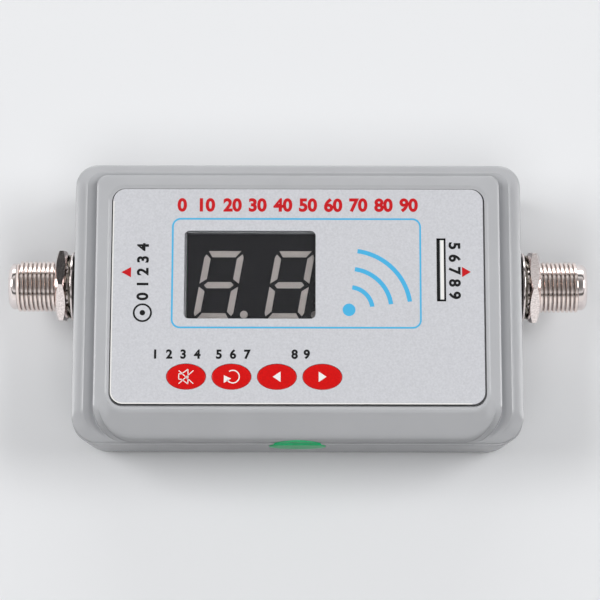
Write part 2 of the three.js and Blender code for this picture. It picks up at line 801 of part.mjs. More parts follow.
function addSounder() {
  const sounderHeight = lidUnder - sounderLidGap - standZ;
  const body = turned([
    [0, 0],
    [sounderRadius, 0],
    [sounderRadius, sounderHeight - sounderEdge],
    [sounderRadius - sounderEdge, sounderHeight],
    [sounderHole, sounderHeight],
    [sounderHole, sounderHeight - sounderHoleDepth],
    [0, sounderHeight - sounderHoleDepth],
  ], roundSteps / 2);
  addPiece(meter, 'sounder', body, blackFinish(), ...boardPlace(boardPlaceShares.sounder), standZ);
}

function addChip() {
  const profile = new THREE.Shape([
    new THREE.Vector2(chipDepth / 2 - chipBevel, 0),
    new THREE.Vector2(chipDepth / 2, chipHeight / 2),
    new THREE.Vector2(chipDepth / 2 - chipBevel, chipHeight),
    new THREE.Vector2(chipBevel - chipDepth / 2, chipHeight),
    new THREE.Vector2(-chipDepth / 2, chipHeight / 2),
    new THREE.Vector2(chipBevel - chipDepth / 2, 0),
  ]);
  const body = alongX(profile, -chipLength / 2, chipLength).translate(0, 0, chipLift);
  const reach = chipDepth / 2 + chipLeadReach;
  const knee = chipLift + chipHeight / 2;
  const leads = [];
  for (let lead = 0; lead < chipLeads; lead += 1) {
    const x = (lead - (chipLeads - 1) / 2) * chipLeadPitch;
    leads.push(box(chipLeadWidth, reach * 2, knee - chipLeadThickness, knee, x));
    for (const side of [-1, 1]) {
      const footY = side * (reach - chipLeadThickness / 2);
      leads.push(box(chipLeadWidth, chipLeadThickness, 0, knee, x, footY));
    }
  }
  const place = boardPlace(boardPlaceShares.chip);
  addPiece(meter, 'control_chip', toGeometry(joined([body, ...leads])), blackFinish(), ...place, standZ);
}

function addChoke() {
  const core = turned([
    [0, 0],
    [chokeRadius, 0],
    [chokeRadius, chokeRim],
    [chokeRadius - chokeWaist, chokeRim],
    [chokeRadius - chokeWaist, chokeHeight - chokeRim],
    [chokeRadius, chokeHeight - chokeRim],
    [chokeRadius, chokeHeight],
    [0, chokeHeight],
  ], roundSteps / 2);
  addPiece(meter, 'supply_choke', core, blackFinish(), ...boardPlace(boardPlaceShares.choke), standZ);
}

function addCapacitor() {
  const capacitorHeight = lidUnder - capacitorLidGap - standZ;
  const can = turned([
    [0, 0],
    [capacitorRadius, 0],
    [capacitorRadius, capacitorGrooveHeight],
    [capacitorRadius - capacitorGroove, capacitorGrooveHeight + capacitorGroove],
    [capacitorRadius, capacitorGrooveHeight + capacitorGroove * 2],
    [capacitorRadius, capacitorHeight - capacitorEdge],
    [capacitorRadius - capacitorEdge, capacitorHeight],
    [0, capacitorHeight],
  ], roundSteps / 2);
  const place = boardPlace(boardPlaceShares.capacitor);
  addPiece(meter, 'smoothing_capacitor', can, finish(0x20324f, 0.4), ...place, standZ);
}

// Connectors, each built outwards along its own axis from the middle of the case

function polar(radius, angle) {
  return new THREE.Vector2(radius * Math.cos(angle), radius * Math.sin(angle));
}

function hexagon(width) {
  const radius = width / Math.sqrt(3);
  return new THREE.Shape([0, 1, 2, 3, 4, 5].map((corner) => polar(radius, (corner * Math.PI) / 3)));
}

function washerShape(width) {
  const across = (washerBore + width) * 2;
  const shape = ovalShape(across, across);
  shape.holes.push(ovalHole(0, 0, washerBore * 2, washerBore * 2, roundSteps));
  return shape;
}

function toothedShape() {
  const toothedRadius = washerBore + toothedWidth;
  const points = [];
  const pitch = (Math.PI * 2) / toothCount;
  for (let tooth = 0; tooth < toothCount; tooth += 1) {
    const start = tooth * pitch;
    const end = start + pitch * toothShare;
    for (const angle of [start, end]) points.push(polar(toothedRadius, angle));
    for (const angle of [end, start + pitch]) points.push(polar(toothedRadius - toothDepth, angle));
  }
  const shape = new THREE.Shape(points);
  shape.holes.push(ovalHole(0, 0, washerBore * 2, washerBore * 2, toothCount * 2));
  return shape;
}

function barrelGeometry(outer) {
  const bodyProfile = [
    [0, flangeInner],
    [threadRadius, flangeInner],
    [threadRadius, outer - tipLength],
    [tipRadius, outer - tipLength],
    [tipRadius, outer - tipChamfer * 2],
    [faceRadius, outer],
    [0, outer],
  ];
  const socket = disc(socketRadius, outer - socketDepth, outer + overrun, 0, 0, roundSteps / 2);
  const contactWay = disc(contactTubeRadius + slideGap, flangeInner - overrun, outer, 0, 0, roundSteps / 2);
  const flange = prism(hexagon(flangeWidth), flangeInner, flangeInner + flangeThickness).rotateZ(Math.PI / 6);
  return toGeometry(joined([turned(bodyProfile), flange]).subtract(joined([socket, contactWay])));
}

function dielectricGeometry(outer) {
  const radius = socketRadius - seat;
  const bore = contactTubeRadius + seat;
  const bottom = outer - socketDepth + seat;
  const top = outer - seat;
  const profile = [[bore, bottom], [radius, bottom], [radius, top], [bore, top], [bore, bottom]];
  return turned(profile, roundSteps / 2);
}

function contactGeometry(outer) {
  const top = outer - tipChamfer;
  const tubeBottom = outer - socketDepth;
  return turned([
    [0, flangeInner - contactSolder],
    [contactRadius, flangeInner - contactSolder],
    [contactRadius, tubeBottom],
    [contactTubeRadius, tubeBottom],
    [contactTubeRadius, top],
    [contactBore, top],
    [contactBore, tubeBottom + overrun],
    [0, tubeBottom + overrun],
  ], roundSteps / 2);
}

function nutGeometry() {
  const bevelRadius = nutWidth / Math.sqrt(3);
  const flatRadius = bevelRadius - nutChamfer * 2;
  const cone = turned([
    [0, 0],
    [flatRadius, 0],
    [bevelRadius, nutChamfer],
    [bevelRadius, nutThickness - nutChamfer],
    [flatRadius, nutThickness],
    [0, nutThickness],
  ]);
  const bore = disc(washerBore, -overrun, nutThickness + overrun);
  const body = prism(hexagon(nutWidth), 0, nutThickness);
  return toGeometry(toSolid(body).intersect(toSolid(cone)).subtract(toSolid(bore)));
}

function addConnector(side, name, nutTurn) {
  const holder = new THREE.Group();
  holder.position.set(0, connectorCentreY, axisZ);
  holder.rotation.y = (side * Math.PI) / 2;
  meter.add(holder);
  addPiece(holder, `${name}_barrel`, barrelGeometry(connectorReach), nickelFinish());
  addPiece(holder, `${name}_dielectric`, dielectricGeometry(connectorReach), whiteFinish());
  addPiece(holder, `${name}_contact`, contactGeometry(connectorReach), goldFinish());

  const ringPrism = (shape, thickness) => prism(shape, 0, thickness, roundSteps / 2);
  const stack = [
    ['gasket', gasketThickness, ringPrism(washerShape(gasketWidth), gasketThickness), rubberFinish()],
    ['washer', washerThickness, ringPrism(washerShape(washerWidth), washerThickness), nickelFinish()],
    ['toothed_washer', toothedThickness, ringPrism(toothedShape(), toothedThickness), steelFinish()],
    ['nut', nutThickness, nutGeometry(), nickelFinish()],
  ];
  let height = halfLength + stackGap;
  for (const [piece, thickness, geometry, material] of stack) {
    const mesh = addPiece(holder, `${name}_${piece}`, geometry, material, 0, 0, height);
    if (piece === 'nut') mesh.rotation.z = nutTurn;
    height += thickness + stackGap;
  }
}

// Case screws, driven up from the underside

function screwGeometry() {
  const point = screwHeadHeight + screwLength;
  const body = turned([
    [0, 0],
    [screwHeadRadius - screwHeadEdge, 0],
    [screwHeadRadius, screwHeadEdge],
    [screwHeadRadius, screwHeadHeight],
    [screwRadius, screwHeadHeight],
    [screwRadius, point - screwPoint],
    [0, point],
  ], roundSteps / 2);
  const cross = joined([
    box(screwSlotLength, screwSlotWidth, -overrun, screwSlotDepth),
    box(screwSlotWidth, screwSlotLength, -overrun, screwSlotDepth),
  ]);
  return toGeometry(toSolid(body).subtract(cross));
}

function addScrews() {
  const names = ['far_right', 'far_left', 'near_left', 'near_right'];
  const geometry = screwGeometry();
  screwPlaces.forEach(([x, y], index) => {
    const z = screwWellDepth - seat - screwHeadHeight;
    addPiece(meter, `${names[index]}_screw`, geometry.clone(), steelFinish(), x, y, z);
  });
}

// Seal sticker: a thin strip along the near wall's profile, trimmed to an oval

function nearWallProfile() {
  const chin = chinShares.slice(chinShares.length / 2).map(([out, down]) => [
    labelY - labelHalfDepth - rimWidth - chinReach * out,
    caseHeight - chinDrop * down,
  ]);
  const tray = [trayTop, baseFillet].map((z) => [nearDraft * (1 - z / trayTop) - halfDepth, z]);
  return [...chin, [-halfDepth, seamZ], ...tray];
}

function addSeal() {
  const profile = nearWallProfile();
  const offset = (distance) => profile.map(([y, z]) => new THREE.Vector2(y - distance, z));
  const strip = new THREE.Shape([...offset(seat), ...offset(seat + sealThickness).reverse()]);
  const geometry = alongX(strip, -sealLength, sealLength * 2);
  const trim = prism(ovalShape(sealLength, sealHeight), 0, halfDepth, roundSteps / 2).rotateX(Math.PI / 2);
  trim.translate(0, -halfDepth / 2, seamZ + sealAboveSeam - sealHeight / 2);
  const sticker = toSolid(geometry).intersect(toSolid(trim));
  addPiece(meter, 'seam_seal', toGeometry(sticker), sealFinish());
}

addCase();
addLabel();
addPane();
addKeys();
addDisplay();
addBoard();
addShield();
addSounder();
addChip();
addChoke();
addCapacitor();
addConnector(-1, 'left', nutTurnLeft);
addConnector(1, 'right', nutTurnRight);
addScrews();
addSeal();

export default meter;
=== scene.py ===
from math import atan2, cos, hypot, pi, radians, sin

import bmesh
import bpy
from mathutils import Matrix, Vector


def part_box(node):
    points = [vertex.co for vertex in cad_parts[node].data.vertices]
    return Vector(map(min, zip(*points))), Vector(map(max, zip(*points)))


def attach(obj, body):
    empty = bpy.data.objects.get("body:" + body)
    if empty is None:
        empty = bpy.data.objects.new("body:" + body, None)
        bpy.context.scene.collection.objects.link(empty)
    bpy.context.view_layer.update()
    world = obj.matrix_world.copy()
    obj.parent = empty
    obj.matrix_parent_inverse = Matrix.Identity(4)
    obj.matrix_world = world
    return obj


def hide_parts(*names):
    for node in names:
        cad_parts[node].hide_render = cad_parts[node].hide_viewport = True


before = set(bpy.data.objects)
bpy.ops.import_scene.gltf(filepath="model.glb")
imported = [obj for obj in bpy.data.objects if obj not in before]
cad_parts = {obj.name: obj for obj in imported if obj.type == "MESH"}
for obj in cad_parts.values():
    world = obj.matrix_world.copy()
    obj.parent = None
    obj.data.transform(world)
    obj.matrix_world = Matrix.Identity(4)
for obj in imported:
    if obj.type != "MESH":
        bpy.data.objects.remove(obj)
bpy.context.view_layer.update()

mm = 0.001
over = 1 * mm  # how far a cutter runs past what it cuts
cut, join = "DIFFERENCE", "UNION"


# The middle and the size of a node's box
def boxMiddle(name):
    low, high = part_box(name)
    return (low + high) / 2, high - low


labelLow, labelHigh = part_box("face_label")
labelCentre = Vector((*boxMiddle("face_label")[0].xy, labelHigh.z))
labelHalfX, labelHalfY = boxMiddle("face_label")[1].xy / 2
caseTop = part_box("top_cover")[1].z
caseHalfX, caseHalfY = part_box("top_cover")[1].xy / mm  # in millimetres
lidDrop = 5.9
seamZ = caseTop - lidDrop * mm
axisY, axisZ = boxMiddle("left_barrel")[0].yz
keyNames = ["buzzer", "reset", "attenuator_down", "attenuator_up"]
screwNames = ["far_right", "far_left", "near_left", "near_right"]
screwPlaces = [boxMiddle(f"{name}_screw")[0].xy for name in screwNames]
print("frame loaded")


# Camera: almost straight down, leaning towards the keys
cameraView = {
    "lens": 169.4,
    "distance": 505.9 * mm,
    "target": Vector((0.41 * mm, -0.55 * mm, caseTop - 0.05 * mm)),
    "turn": (radians(14.3), radians(0.02), radians(0.12)),
}


def addCamera():
    data = bpy.data.cameras.new("camera")
    data.lens = cameraView["lens"]
    data.clip_start = 0.05
    data.clip_end = 10
    camera = bpy.data.objects.new("camera", data)
    bpy.context.scene.collection.objects.link(camera)
    camera.rotation_euler = cameraView["turn"]
    back = camera.rotation_euler.to_matrix() @ Vector((0, 0, cameraView["distance"]))
    camera.location = cameraView["target"] + back
    bpy.context.scene.camera = camera


# Node helpers

def linear(code):
    values = [int(code[i:i + 2], 16) / 255 for i in (0, 2, 4)]
    return (*(v / 12.92 if v <= 0.04045 else ((v + 0.055) / 1.055) ** 2.4 for v in values), 1)


def addNode(tree, kind, settings=None, links=None):
    node = tree.nodes.new(kind)
    for name, value in (settings or {}).items():
        if isinstance(name, str) and hasattr(node, name):
            setattr(node, name, value)
        else:
            node.inputs[name].default_value = value
    for name, socket in (links or {}).items():
        tree.links.new(socket, node.inputs[name])
    return node


def startMaterial(name, code, roughness, metallic=0, **sockets):
    material = bpy.data.materials.new(name)
    material.use_nodes = True
    shader = material.node_tree.nodes["Principled BSDF"]
    values = {"Base Color": linear(code), "Roughness": roughness, "Metallic": metallic, **sockets}
    for socket, value in values.items():
        shader.inputs[socket].default_value = value
    return material, material.node_tree, shader


def noiseIn(tree, sizeMm, detail=3, stretch=(1, 1, 1)):
    place = addNode(tree, "ShaderNodeTexCoord")
    mapped = addNode(tree, "ShaderNodeMapping", {"Scale": stretch}, {"Vector": place.outputs["Object"]})
    settings = {"Scale": 1 / (sizeMm * mm), "Detail": detail}
    return addNode(tree, "ShaderNodeTexNoise", settings, {"Vector": mapped.outputs["Vector"]}).outputs["Fac"]


# Surface grain of a real height, as the shader's bump
def raiseGrain(tree, shader, height, heightMm, strength=1):
    settings = {"Strength": strength, "Distance": heightMm * mm}
    bump = addNode(tree, "ShaderNodeBump", settings, {"Height": height})
    tree.links.new(bump.outputs["Normal"], shader.inputs["Normal"])


def spreadColour(tree, shader, factor, codes, reach=(0.35, 0.65)):
    ramp = addNode(tree, "ShaderNodeValToRGB", links={"Fac": factor})
    for stop, place, code in zip(ramp.color_ramp.elements, reach, codes):
        stop.position = place
        stop.color = linear(code)
    tree.links.new(ramp.outputs["Color"], shader.inputs["Base Color"])


def spreadRoughness(tree, shader, factor, low, high):
    settings = {"To Min": low, "To Max": high}
    spread = addNode(tree, "ShaderNodeMapRange", settings, {"Value": factor})
    tree.links.new(spread.outputs["Result"], shader.inputs["Roughness"])


# A mask that is 1 above a height in the frame, with a crisp edge
def aboveHeight(tree, z):
    place = addNode(tree, "ShaderNodeTexCoord")
    split = addNode(tree, "ShaderNodeSeparateXYZ", links={"Vector": place.outputs["Object"]})
    settings = {"operation": "GREATER_THAN", 1: z}
    return addNode(tree, "ShaderNodeMath", settings, {0: split.outputs["Z"]}).outputs[0]


def mixColours(tree, factor, below, above):
    blend = addNode(tree, "ShaderNodeMix", {"data_type": "RGBA"}, {0: factor})
    for index, value in ((6, below), (7, above)):
        if isinstance(value, str):
            blend.inputs[index].default_value = linear(value)
        else:
            tree.links.new(value, blend.inputs[index])
    return blend.outputs[2]


# Mesh helpers

def faceOutward(bm):
    bmesh.ops.recalc_face_normals(bm, faces=bm.faces)
    if bm.calc_volume(signed=True) < 0:
        bmesh.ops.reverse_faces(bm, faces=bm.faces)


def addObject(bm, name):
    mesh = bpy.data.meshes.new(name)
    bm.to_mesh(mesh)
    bm.free()
    item = bpy.data.objects.new(name, mesh)
    bpy.context.scene.collection.objects.link(item)
    return item


def finishPiece(bm, name, material, body="case", sharp=32, replaced=(), place=None):
    bmesh.ops.remove_doubles(bm, verts=bm.verts, dist=1e-8)
    faceOutward(bm)
    if place is not None:
        bmesh.ops.transform(bm, matrix=place, verts=bm.verts)
    piece = addObject(bm, name)
    piece.data.shade_smooth()
    piece.data.set_sharp_from_angle(angle=radians(sharp))
    piece.data.materials.append(material)
    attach(piece, body)
    if replaced:
        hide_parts(*replaced)
    return piece


def looseCutter(bm):
    faceOutward(bm)
    return addObject(bm, "cutter")


# One solid after cuts and joins, each an operation and its tool
def combine(bm, *steps):
    base = looseCutter(bm)
    for operation, tool in steps:
        cutter = looseCutter(tool)
        boolean = base.modifiers.new("boolean", "BOOLEAN")
        boolean.operation = operation
        boolean.solver = "EXACT"
        boolean.object = cutter
        shaped = base.evaluated_get(bpy.context.evaluated_depsgraph_get())
        mesh = bpy.data.meshes.new_from_object(shaped)
        base.modifiers.clear()
        base.data = mesh
        bpy.data.objects.remove(cutter)
    made = bmesh.new()
    made.from_mesh(base.data)
    bpy.data.objects.remove(base)
    return made


def merged(parts):
    whole = bmesh.new()
    for part in parts:
        mesh = bpy.data.meshes.new("part")
        part.to_mesh(mesh)
        part.free()
        whole.from_mesh(mesh)
        bpy.data.meshes.remove(mesh)
    return whole


# A flat rectangle with rounded corners, near and far corners of their own size
def addRounded(bm, halfX, near, far, nearCorner, farCorner, steps):
    square = bmesh.ops.create_grid(bm, x_segments=1, y_segments=1, size=1)["verts"]
    known = set(bm.verts) - set(square)
    nearSide, farSide = [v for v in square if v.co.y < 0], [v for v in square if v.co.y > 0]
    for v in square:
        v.co = (halfX * v.co.x, far if v in farSide else near, 0)
    for corners, radius in ((nearSide, nearCorner), (farSide, farCorner)):
        bmesh.ops.bevel(bm, geom=corners, offset=radius, offset_type="OFFSET", affect="VERTICES",
                        segments=steps, profile=0.5, material=-1)
    return [v for v in bm.verts if v not in known]


def roundedPrism(x, y, length, depth, corner, bottom, top, steps=8):
    bm = bmesh.new()
    verts = addRounded(bm, length / 2, -depth / 2, depth / 2, corner, corner, steps)
    bmesh.ops.translate(bm, vec=(x, y, bottom), verts=verts)
    raiseFaces(bm, top - bottom)
    return bm


def raiseFaces(bm, height):
    raised = bmesh.ops.extrude_face_region(bm, geom=bm.faces[:])["geom"]
    verts = [item for item in raised if isinstance(item, bmesh.types.BMVert)]
    bmesh.ops.translate(bm, vec=(0, 0, height), verts=verts)
    faceOutward(bm)


def ovalPrism(x, y, length, depth, bottom, top, steps=64):
    bm = bmesh.new()
    verts = bmesh.ops.create_circle(bm, cap_ends=True, radius=0.5, segments=steps)["verts"]
    bmesh.ops.scale(bm, vec=(length, depth, 1), verts=verts)
    bmesh.ops.translate(bm, vec=(x, y, bottom), verts=verts)
    raiseFaces(bm, top - bottom)
    return bm


def boxPrism(low, high):
    bm = bmesh.new()
    verts = bmesh.ops.create_cube(bm, size=1)["verts"]
    bmesh.ops.scale(bm, vec=high - low, verts=verts)
    bmesh.ops.translate(bm, vec=(low + high) / 2, verts=verts)
    return bm


# Two boxes that cross at a right angle, in millimetres
def crossedBoxes(low, high):
    boxes = [boxPrism(Vector(low) * mm, Vector(high) * mm) for _ in (0, 1)]
    bmesh.ops.rotate(boxes[1], matrix=Matrix.Rotation(pi / 2, 3, "Z"), cent=(0, 0, 0), verts=boxes[1].verts)
    return boxes


# A hexagon from its corner radius, turned about its middle, in millimetres
def hexPrism(corner, turn, bottom, top):
    bm = bmesh.new()
    bmesh.ops.create_circle(bm, cap_ends=True, radius=corner * mm, segments=6)
    bmesh.ops.rotate(bm, matrix=Matrix.Rotation(turn, 3, "Z"), cent=(0, 0, 0), verts=bm.verts)
    bmesh.ops.translate(bm, vec=(0, 0, bottom * mm), verts=bm.verts)
    raiseFaces(bm, (top - bottom) * mm)
    return bm


# A turned shape about the Z axis from its section, radius and height in millimetres
def turned(section, steps=64):
    bm = bmesh.new()
    verts = [bm.verts.new((radius * mm, 0, height * mm)) for radius, height in section]
    edges = [bm.edges.new(pair) for pair in zip(verts, verts[1:])]
    bmesh.ops.spin(bm, geom=verts + edges, cent=(0, 0, 0), axis=(0, 0, 1), angle=2 * pi, steps=steps,
                   use_merge=True)
    bmesh.ops.remove_doubles(bm, verts=bm.verts, dist=1e-8)
    faceOutward(bm)
    return bm


# Finishes

# Colour, gloss and grain each follow a noise, which is given first by its size and detail
def surface(name, code, roughness, metallic=0, colour=None, gloss=None, grain=None, **sockets):
    material, tree, shader = startMaterial(name, code, roughness, metallic, **sockets)
    for follow, settings in ((spreadColour, colour), (spreadRoughness, gloss), (raiseGrain, grain)):
        if settings:
            follow(tree, shader, noiseIn(tree, *settings[0]), *settings[1:])
    return material


def mouldedAbs(code, paler):
    # light grey ABS from a fine-etched mould: a soft sheen, with crisp light lines along the edges
    return surface("moulded ABS light grey", code, 0.3, IOR=1.53, colour=([9], (code, paler)),
                   gloss=([0.22, 2], 0.2, 0.28), grain=([0.22, 2], 0.004, 0.4))


def printedFilm():
    # reverse-printed polycarbonate film: pale grey with a velvet grain that scatters light;
    # below its face, its edges and the skirt under them are near black: painted shade for the gaps round the
    # label and the keys
    material, tree, shader = startMaterial("velvet polycarbonate film", "cfd0d5", 0.5, IOR=1.58)
    speckle = noiseIn(tree, 0.34, 3)
    spreadColour(tree, shader, speckle, ("c4c5ca", "d1d2d7"), (0.3, 0.7))
    face = shader.inputs["Base Color"].links[0].from_socket
    # below this height the film's edges and skirt get painted shade, near black (2c2c30)
    aboveEdgeShade = aboveHeight(tree, labelHigh.z - labelForm["unshadedDepth"] * mm)
    tree.links.new(mixColours(tree, aboveEdgeShade, "2c2c30", face), shader.inputs["Base Color"])
    raiseGrain(tree, shader, speckle, 0.006, 0.5)
    return material


def ink(name, code):
    # screen-printing ink: flat colour with a slightly uneven film
    return surface(name, code, 0.5, IOR=1.35, gloss=([0.3], 0.42, 0.58))


def keyFilm():
    # embossed polyester film printed red: brighter and glossier than the velvet film
    return surface("embossed red polyester film", "d6100f", 0.3, IOR=1.35,
                   colour=([0.35], ("cd0c0c", "d80e0d")), grain=([0.35], 0.004, 0.5))


def clearAcrylic():
    # polished cast acrylic: clear, with a sharp reflection
    return surface("polished acrylic", "fafafc", 0.04, IOR=1.49, gloss=([4], 0.03, 0.07),
                   **{"Transmission Weight": 1})


def displayBody():
    # painted polycarbonate display face: matt charcoal with fine dust
    return surface("matt charcoal paint", "1a1a20", 0.6, IOR=1.33,
                   colour=([0.5, 5], ("0a0a10", "1b1b24"), (0.45, 0.85)), grain=([0.15], 0.003))


digitForm = {"slant": 0.174, "rightShadeFrom": 2.45}  # the digits' lean, and where the painted shade on the right-hand segments starts


def segmentResin():
    # milky diffusing epoxy, unlit: warm grey with soft clouds, with painted shade darkening the segments at
    # the right end of the display
    material, tree, shader = startMaterial("diffusing epoxy", "c6beb8", 0.45)
    clouds = addNode(tree, "ShaderNodeValToRGB", links={"Fac": noiseIn(tree, 1.4)})
    for stop, code in zip(clouds.color_ramp.elements, ("beb6b0", "cec6c0")):
        stop.color = linear(code)
    place = addNode(tree, "ShaderNodeTexCoord")
    settings = {"operation": "DOT_PRODUCT", 1: (1, -digitForm["slant"], 0)}
    upright = addNode(tree, "ShaderNodeVectorMath", settings, {0: place.outputs["Object"]})
    settings = {"operation": "GREATER_THAN", 1: digitForm["rightShadeFrom"] * mm}
    rightShade = addNode(tree, "ShaderNodeMath", settings, {0: upright.outputs["Value"]})
    # segments past the slanted line take a darker grey (8b8683): painted shade
    colour = mixColours(tree, rightShade.outputs[0], clouds.outputs["Color"], "8b8683")
    tree.links.new(colour, shader.inputs["Base Color"])
    return material


def nickelPlate():
    # bright nickel on turned brass: warm mirror-like plate with fine turning marks
    return surface("bright nickel plate", "e8dedd", 0.16, 1, colour=([2.5], ("e0d6d4", "efe6e4")),
                   gloss=([0.5, 4], 0.08, 0.24), grain=([0.5, 4], 0.004, 0.5))


def threadNickel():
    # the same plate on the thread: a lighter colour on the crests as a painted highlight, and dark brown down
    # in the roots as painted shade
    material, tree, shader = startMaterial("nickel plate on thread", "e8dedd", 0.2, 1)
    place = addNode(tree, "ShaderNodeTexCoord")
    settings = {"operation": "MULTIPLY_ADD", 1: (0, 1, 1), 2: (0, -axisY, -axisZ)}
    across = addNode(tree, "ShaderNodeVectorMath", settings, {0: place.outputs["Object"]})
    radius = addNode(tree, "ShaderNodeVectorMath", {"operation": "LENGTH"}, {0: across.outputs["Vector"]})
    low, high = connectorForm["root"], connectorForm["crest"] - 0.02
    settings = {"From Min": low * mm, "From Max": high * mm}
    height = addNode(tree, "ShaderNodeMapRange", settings, {"Value": radius.outputs["Value"]})
    # colour by radius: painted shade in the thread roots, painted highlight on the crests
    spreadColour(tree, shader, height.outputs["Result"], ("6f6053", "f2e5e0"), (0.0, 0.6))
    spreadRoughness(tree, shader, noiseIn(tree, 0.4, 3), 0.14, 0.3)
    return material


def pittedNickel():
    # nut blanks plated unpolished: the same nickel over a pitted skin that breaks up reflections
    return surface("nickel plate over pitted brass", "e8dedd", 0.14, 1, colour=([0.3], ("d9cfcd", "f0e7e5")),
                   gloss=([0.3], 0.06, 0.16), grain=([0.3], 0.006, 0.5))


def springSteel():
    # hardened lock washer, dull zinc over spring steel with dark crevices
    return surface("dull zinc on spring steel", "8f8981", 0.38, 1, colour=([0.8, 4], ("6f6860", "a69f96")),
                   gloss=([0.3], 0.28, 0.5))


def blackRubber():
    # pressed rubber: near black and dry, with a faint bloom
    return surface("pressed black rubber", "17171a", 0.75, colour=([0.6, 4], ("121214", "202024")),
                   grain=([0.6, 4], 0.01))


def sealFilm():
    # thin vinyl seal sticker: plain green, satin, slightly creased over the seam
    return surface("green vinyl sticker", "08bd72", 0.4, IOR=1.4, colour=([1.5, 4], ("04c074", "08d285")),
                   grain=([1.5, 4], 0.02))


def plainMoulding(name, code, roughness):
    # small inner mouldings: fine spark grain
    return surface(name, code, roughness, gloss=([0.2], roughness - 0.07, roughness + 0.07),
                   grain=([0.2], 0.004))


def plainMetal(name, code, roughness, stretch=(1, 1, 1)):
    # rolled or turned metal: tone and gloss drift along the working direction
    marks = (0.4, 4, stretch)
    return surface(name, code, roughness, 1, gloss=(marks, roughness * 0.7, roughness * 1.4),
                   grain=(marks, 0.003, 0.6))


def metalBelow(name, code, height):
    # a moulded body whose legs or pins, under a height, are tinned metal
    material, tree, shader = startMaterial(name, code, 0.45)
    body = aboveHeight(tree, height)
    tree.links.new(mixColours(tree, body, "c9c7c2", code), shader.inputs["Base Color"])
    legs = addNode(tree, "ShaderNodeMath", {"operation": "SUBTRACT", 0: 1.0}, {1: body})
    tree.links.new(legs.outputs[0], shader.inputs["Metallic"])
    raiseGrain(tree, shader, noiseIn(tree, 0.25), 0.004)
    return material


def boardLaminate():
    # glass-epoxy board under green solder mask: routed copper shows as a lighter green
    material, tree, shader = startMaterial("green solder mask", "1d5e38", 0.32)
    place = addNode(tree, "ShaderNodeTexCoord")
    settings = {"feature": "DISTANCE_TO_EDGE", "Scale": 1 / (2.6 * mm)}
    routes = addNode(tree, "ShaderNodeTexVoronoi", settings, {"Vector": place.outputs["Object"]})
    spreadColour(tree, shader, routes.outputs["Distance"], ("2b7c4c", "1b5734"), (0.1, 0.14))
    raiseGrain(tree, shader, noiseIn(tree, 0.4), 0.004)
    return material


# Case: rounded rings in millimetres, set out from the label's edge and down from the top

lidForm = {
    "cornerSteps": 16,
    "rim": 0.6, "rimCorner": 2.95,
    "chin": {"reach": 5.12, "drop": 5.5, "rings": 28, "side": 1.87, "far": 1.0, "farCorner": 0.9,
             "nearCorner": 5.8, "fade": 1.5},
    "chinShares": [(0, 0), (0.08, 0.02), (0.19, 0.07), (0.45, 0.25), (0.72, 0.44), (0.87, 0.56), (0.96, 0.67),
                   (0.99, 0.8), (1, 1)],
    "edge": [  # out at the sides, out at the far side, down
        (0.3, 0.5, 0.008), (0.5, 0.85, 0.025), (0.65, 1.05, 0.045), (0.78, 1.22, 0.07), (0.96, 1.48, 0.14),
        (1.0, 1.52, 0.18),
    ],
    "ledge": [  # side margin, far margin, far corner, near corner, drop
        (2.97, 2.62, 1.85, 5.8, 3.1), (3.0, 2.65, 1.88, 5.8, 3.7), (3.1, 2.74, 1.9, 5.8, 3.86),
        (3.3, 2.9, 1.95, 5.8, 3.74), (3.6, 3.12, 2.05, 5.8, 3.5), (4.0, 3.4, 2.15, 5.8, 3.31),
        (4.35, 3.64, 2.28, 5.8, 3.24), (4.58, 3.8, 2.38, 5.8, 3.215), (4.68, 3.88, 2.44, 5.8, 3.21),
        (4.76, 3.94, 2.5, 5.78, 3.2), (4.86, 4.02, 2.56, 5.76, 3.21), (5.08, 4.17, 2.68, 5.7, 3.31),
        (5.5, 4.5, 2.9, 5.6, 3.35), (6.2, 4.98, 3.4, 5.3, 3.46), (6.8, 5.36, 3.8, 4.85, 3.6),
        (6.9, 5.45, 3.92, 4.7, 3.66), (6.94, 5.49, 3.98, 4.63, 3.74), (6.95, 5.5, 4.0, 4.6, 3.95),
        (6.95, 5.5, 4.0, 4.6, 5.7), (6.91, 5.46, 3.96, 4.56, 5.83), (6.8, 5.35, 3.85, 4.45, lidDrop),
    ],
    "nearMargin": 5.7, "nearDrop": (5.5, lidDrop),  # of the first ring and of the last
    "fadeBack": 1.6, "wall": 2.2, "panelTop": 2.2, "gap": 0.15,
    "hollow": {"side": 2.8, "far": 2.45, "near": 0.6, "nearCorner": 5.1, "farCorner": 1.2},
    "rebate": (12, 49.3, 3, 0.36),  # longer than the label, depth, corner, rise
    "recess": {"gap": 0.13, "corner": 2.45, "shift": (0.05, -0.15)},
    "lip": [(0.8, -0.05), (0.34, 0.155), (0.05, 0.18), (0, 0.22), (0, 1.3)],
    "bed": {"inset": 0.35, "corner": 2, "gap": 0.05},
    "seat": (0.95, 0.05), "keyDepth": 0.4,  # the pane's corner and the gap under it
    "post": {"width": 5.4, "hole": 2.8, "gap": 0.05},
    "slot": 4.9, "slotDepths": (4, -2),  # radius, depths from the wall's face
    "tab": {"depths": (0.9, 0.2), "gap": 0.05, "join": 0.1, "aboveAxis": 1},
}


def smooth(share):
    return share * share * (3 - 2 * share)


def mix(a, b, share):
    return a + (b - a) * share


# One ring of a loft; its near side may sit lower than the rest, fading round the near corners
def addRing(bm, steps, halfX, near, far, nearCorner, farCorner, sideZ, nearZ, fade=1):
    verts = addRounded(bm, halfX, near, far, nearCorner, farCorner, steps)
    for v in verts:
        acrossCorner = abs(v.co.x) - (halfX - nearCorner)
        downCorner = near + nearCorner - v.co.y
        share = 1 if downCorner <= 0 else atan2(max(acrossCorner, 0), downCorner) / (pi / 2)
        v.co.z = mix(nearZ, sideZ, smooth(share) ** fade)
    return verts


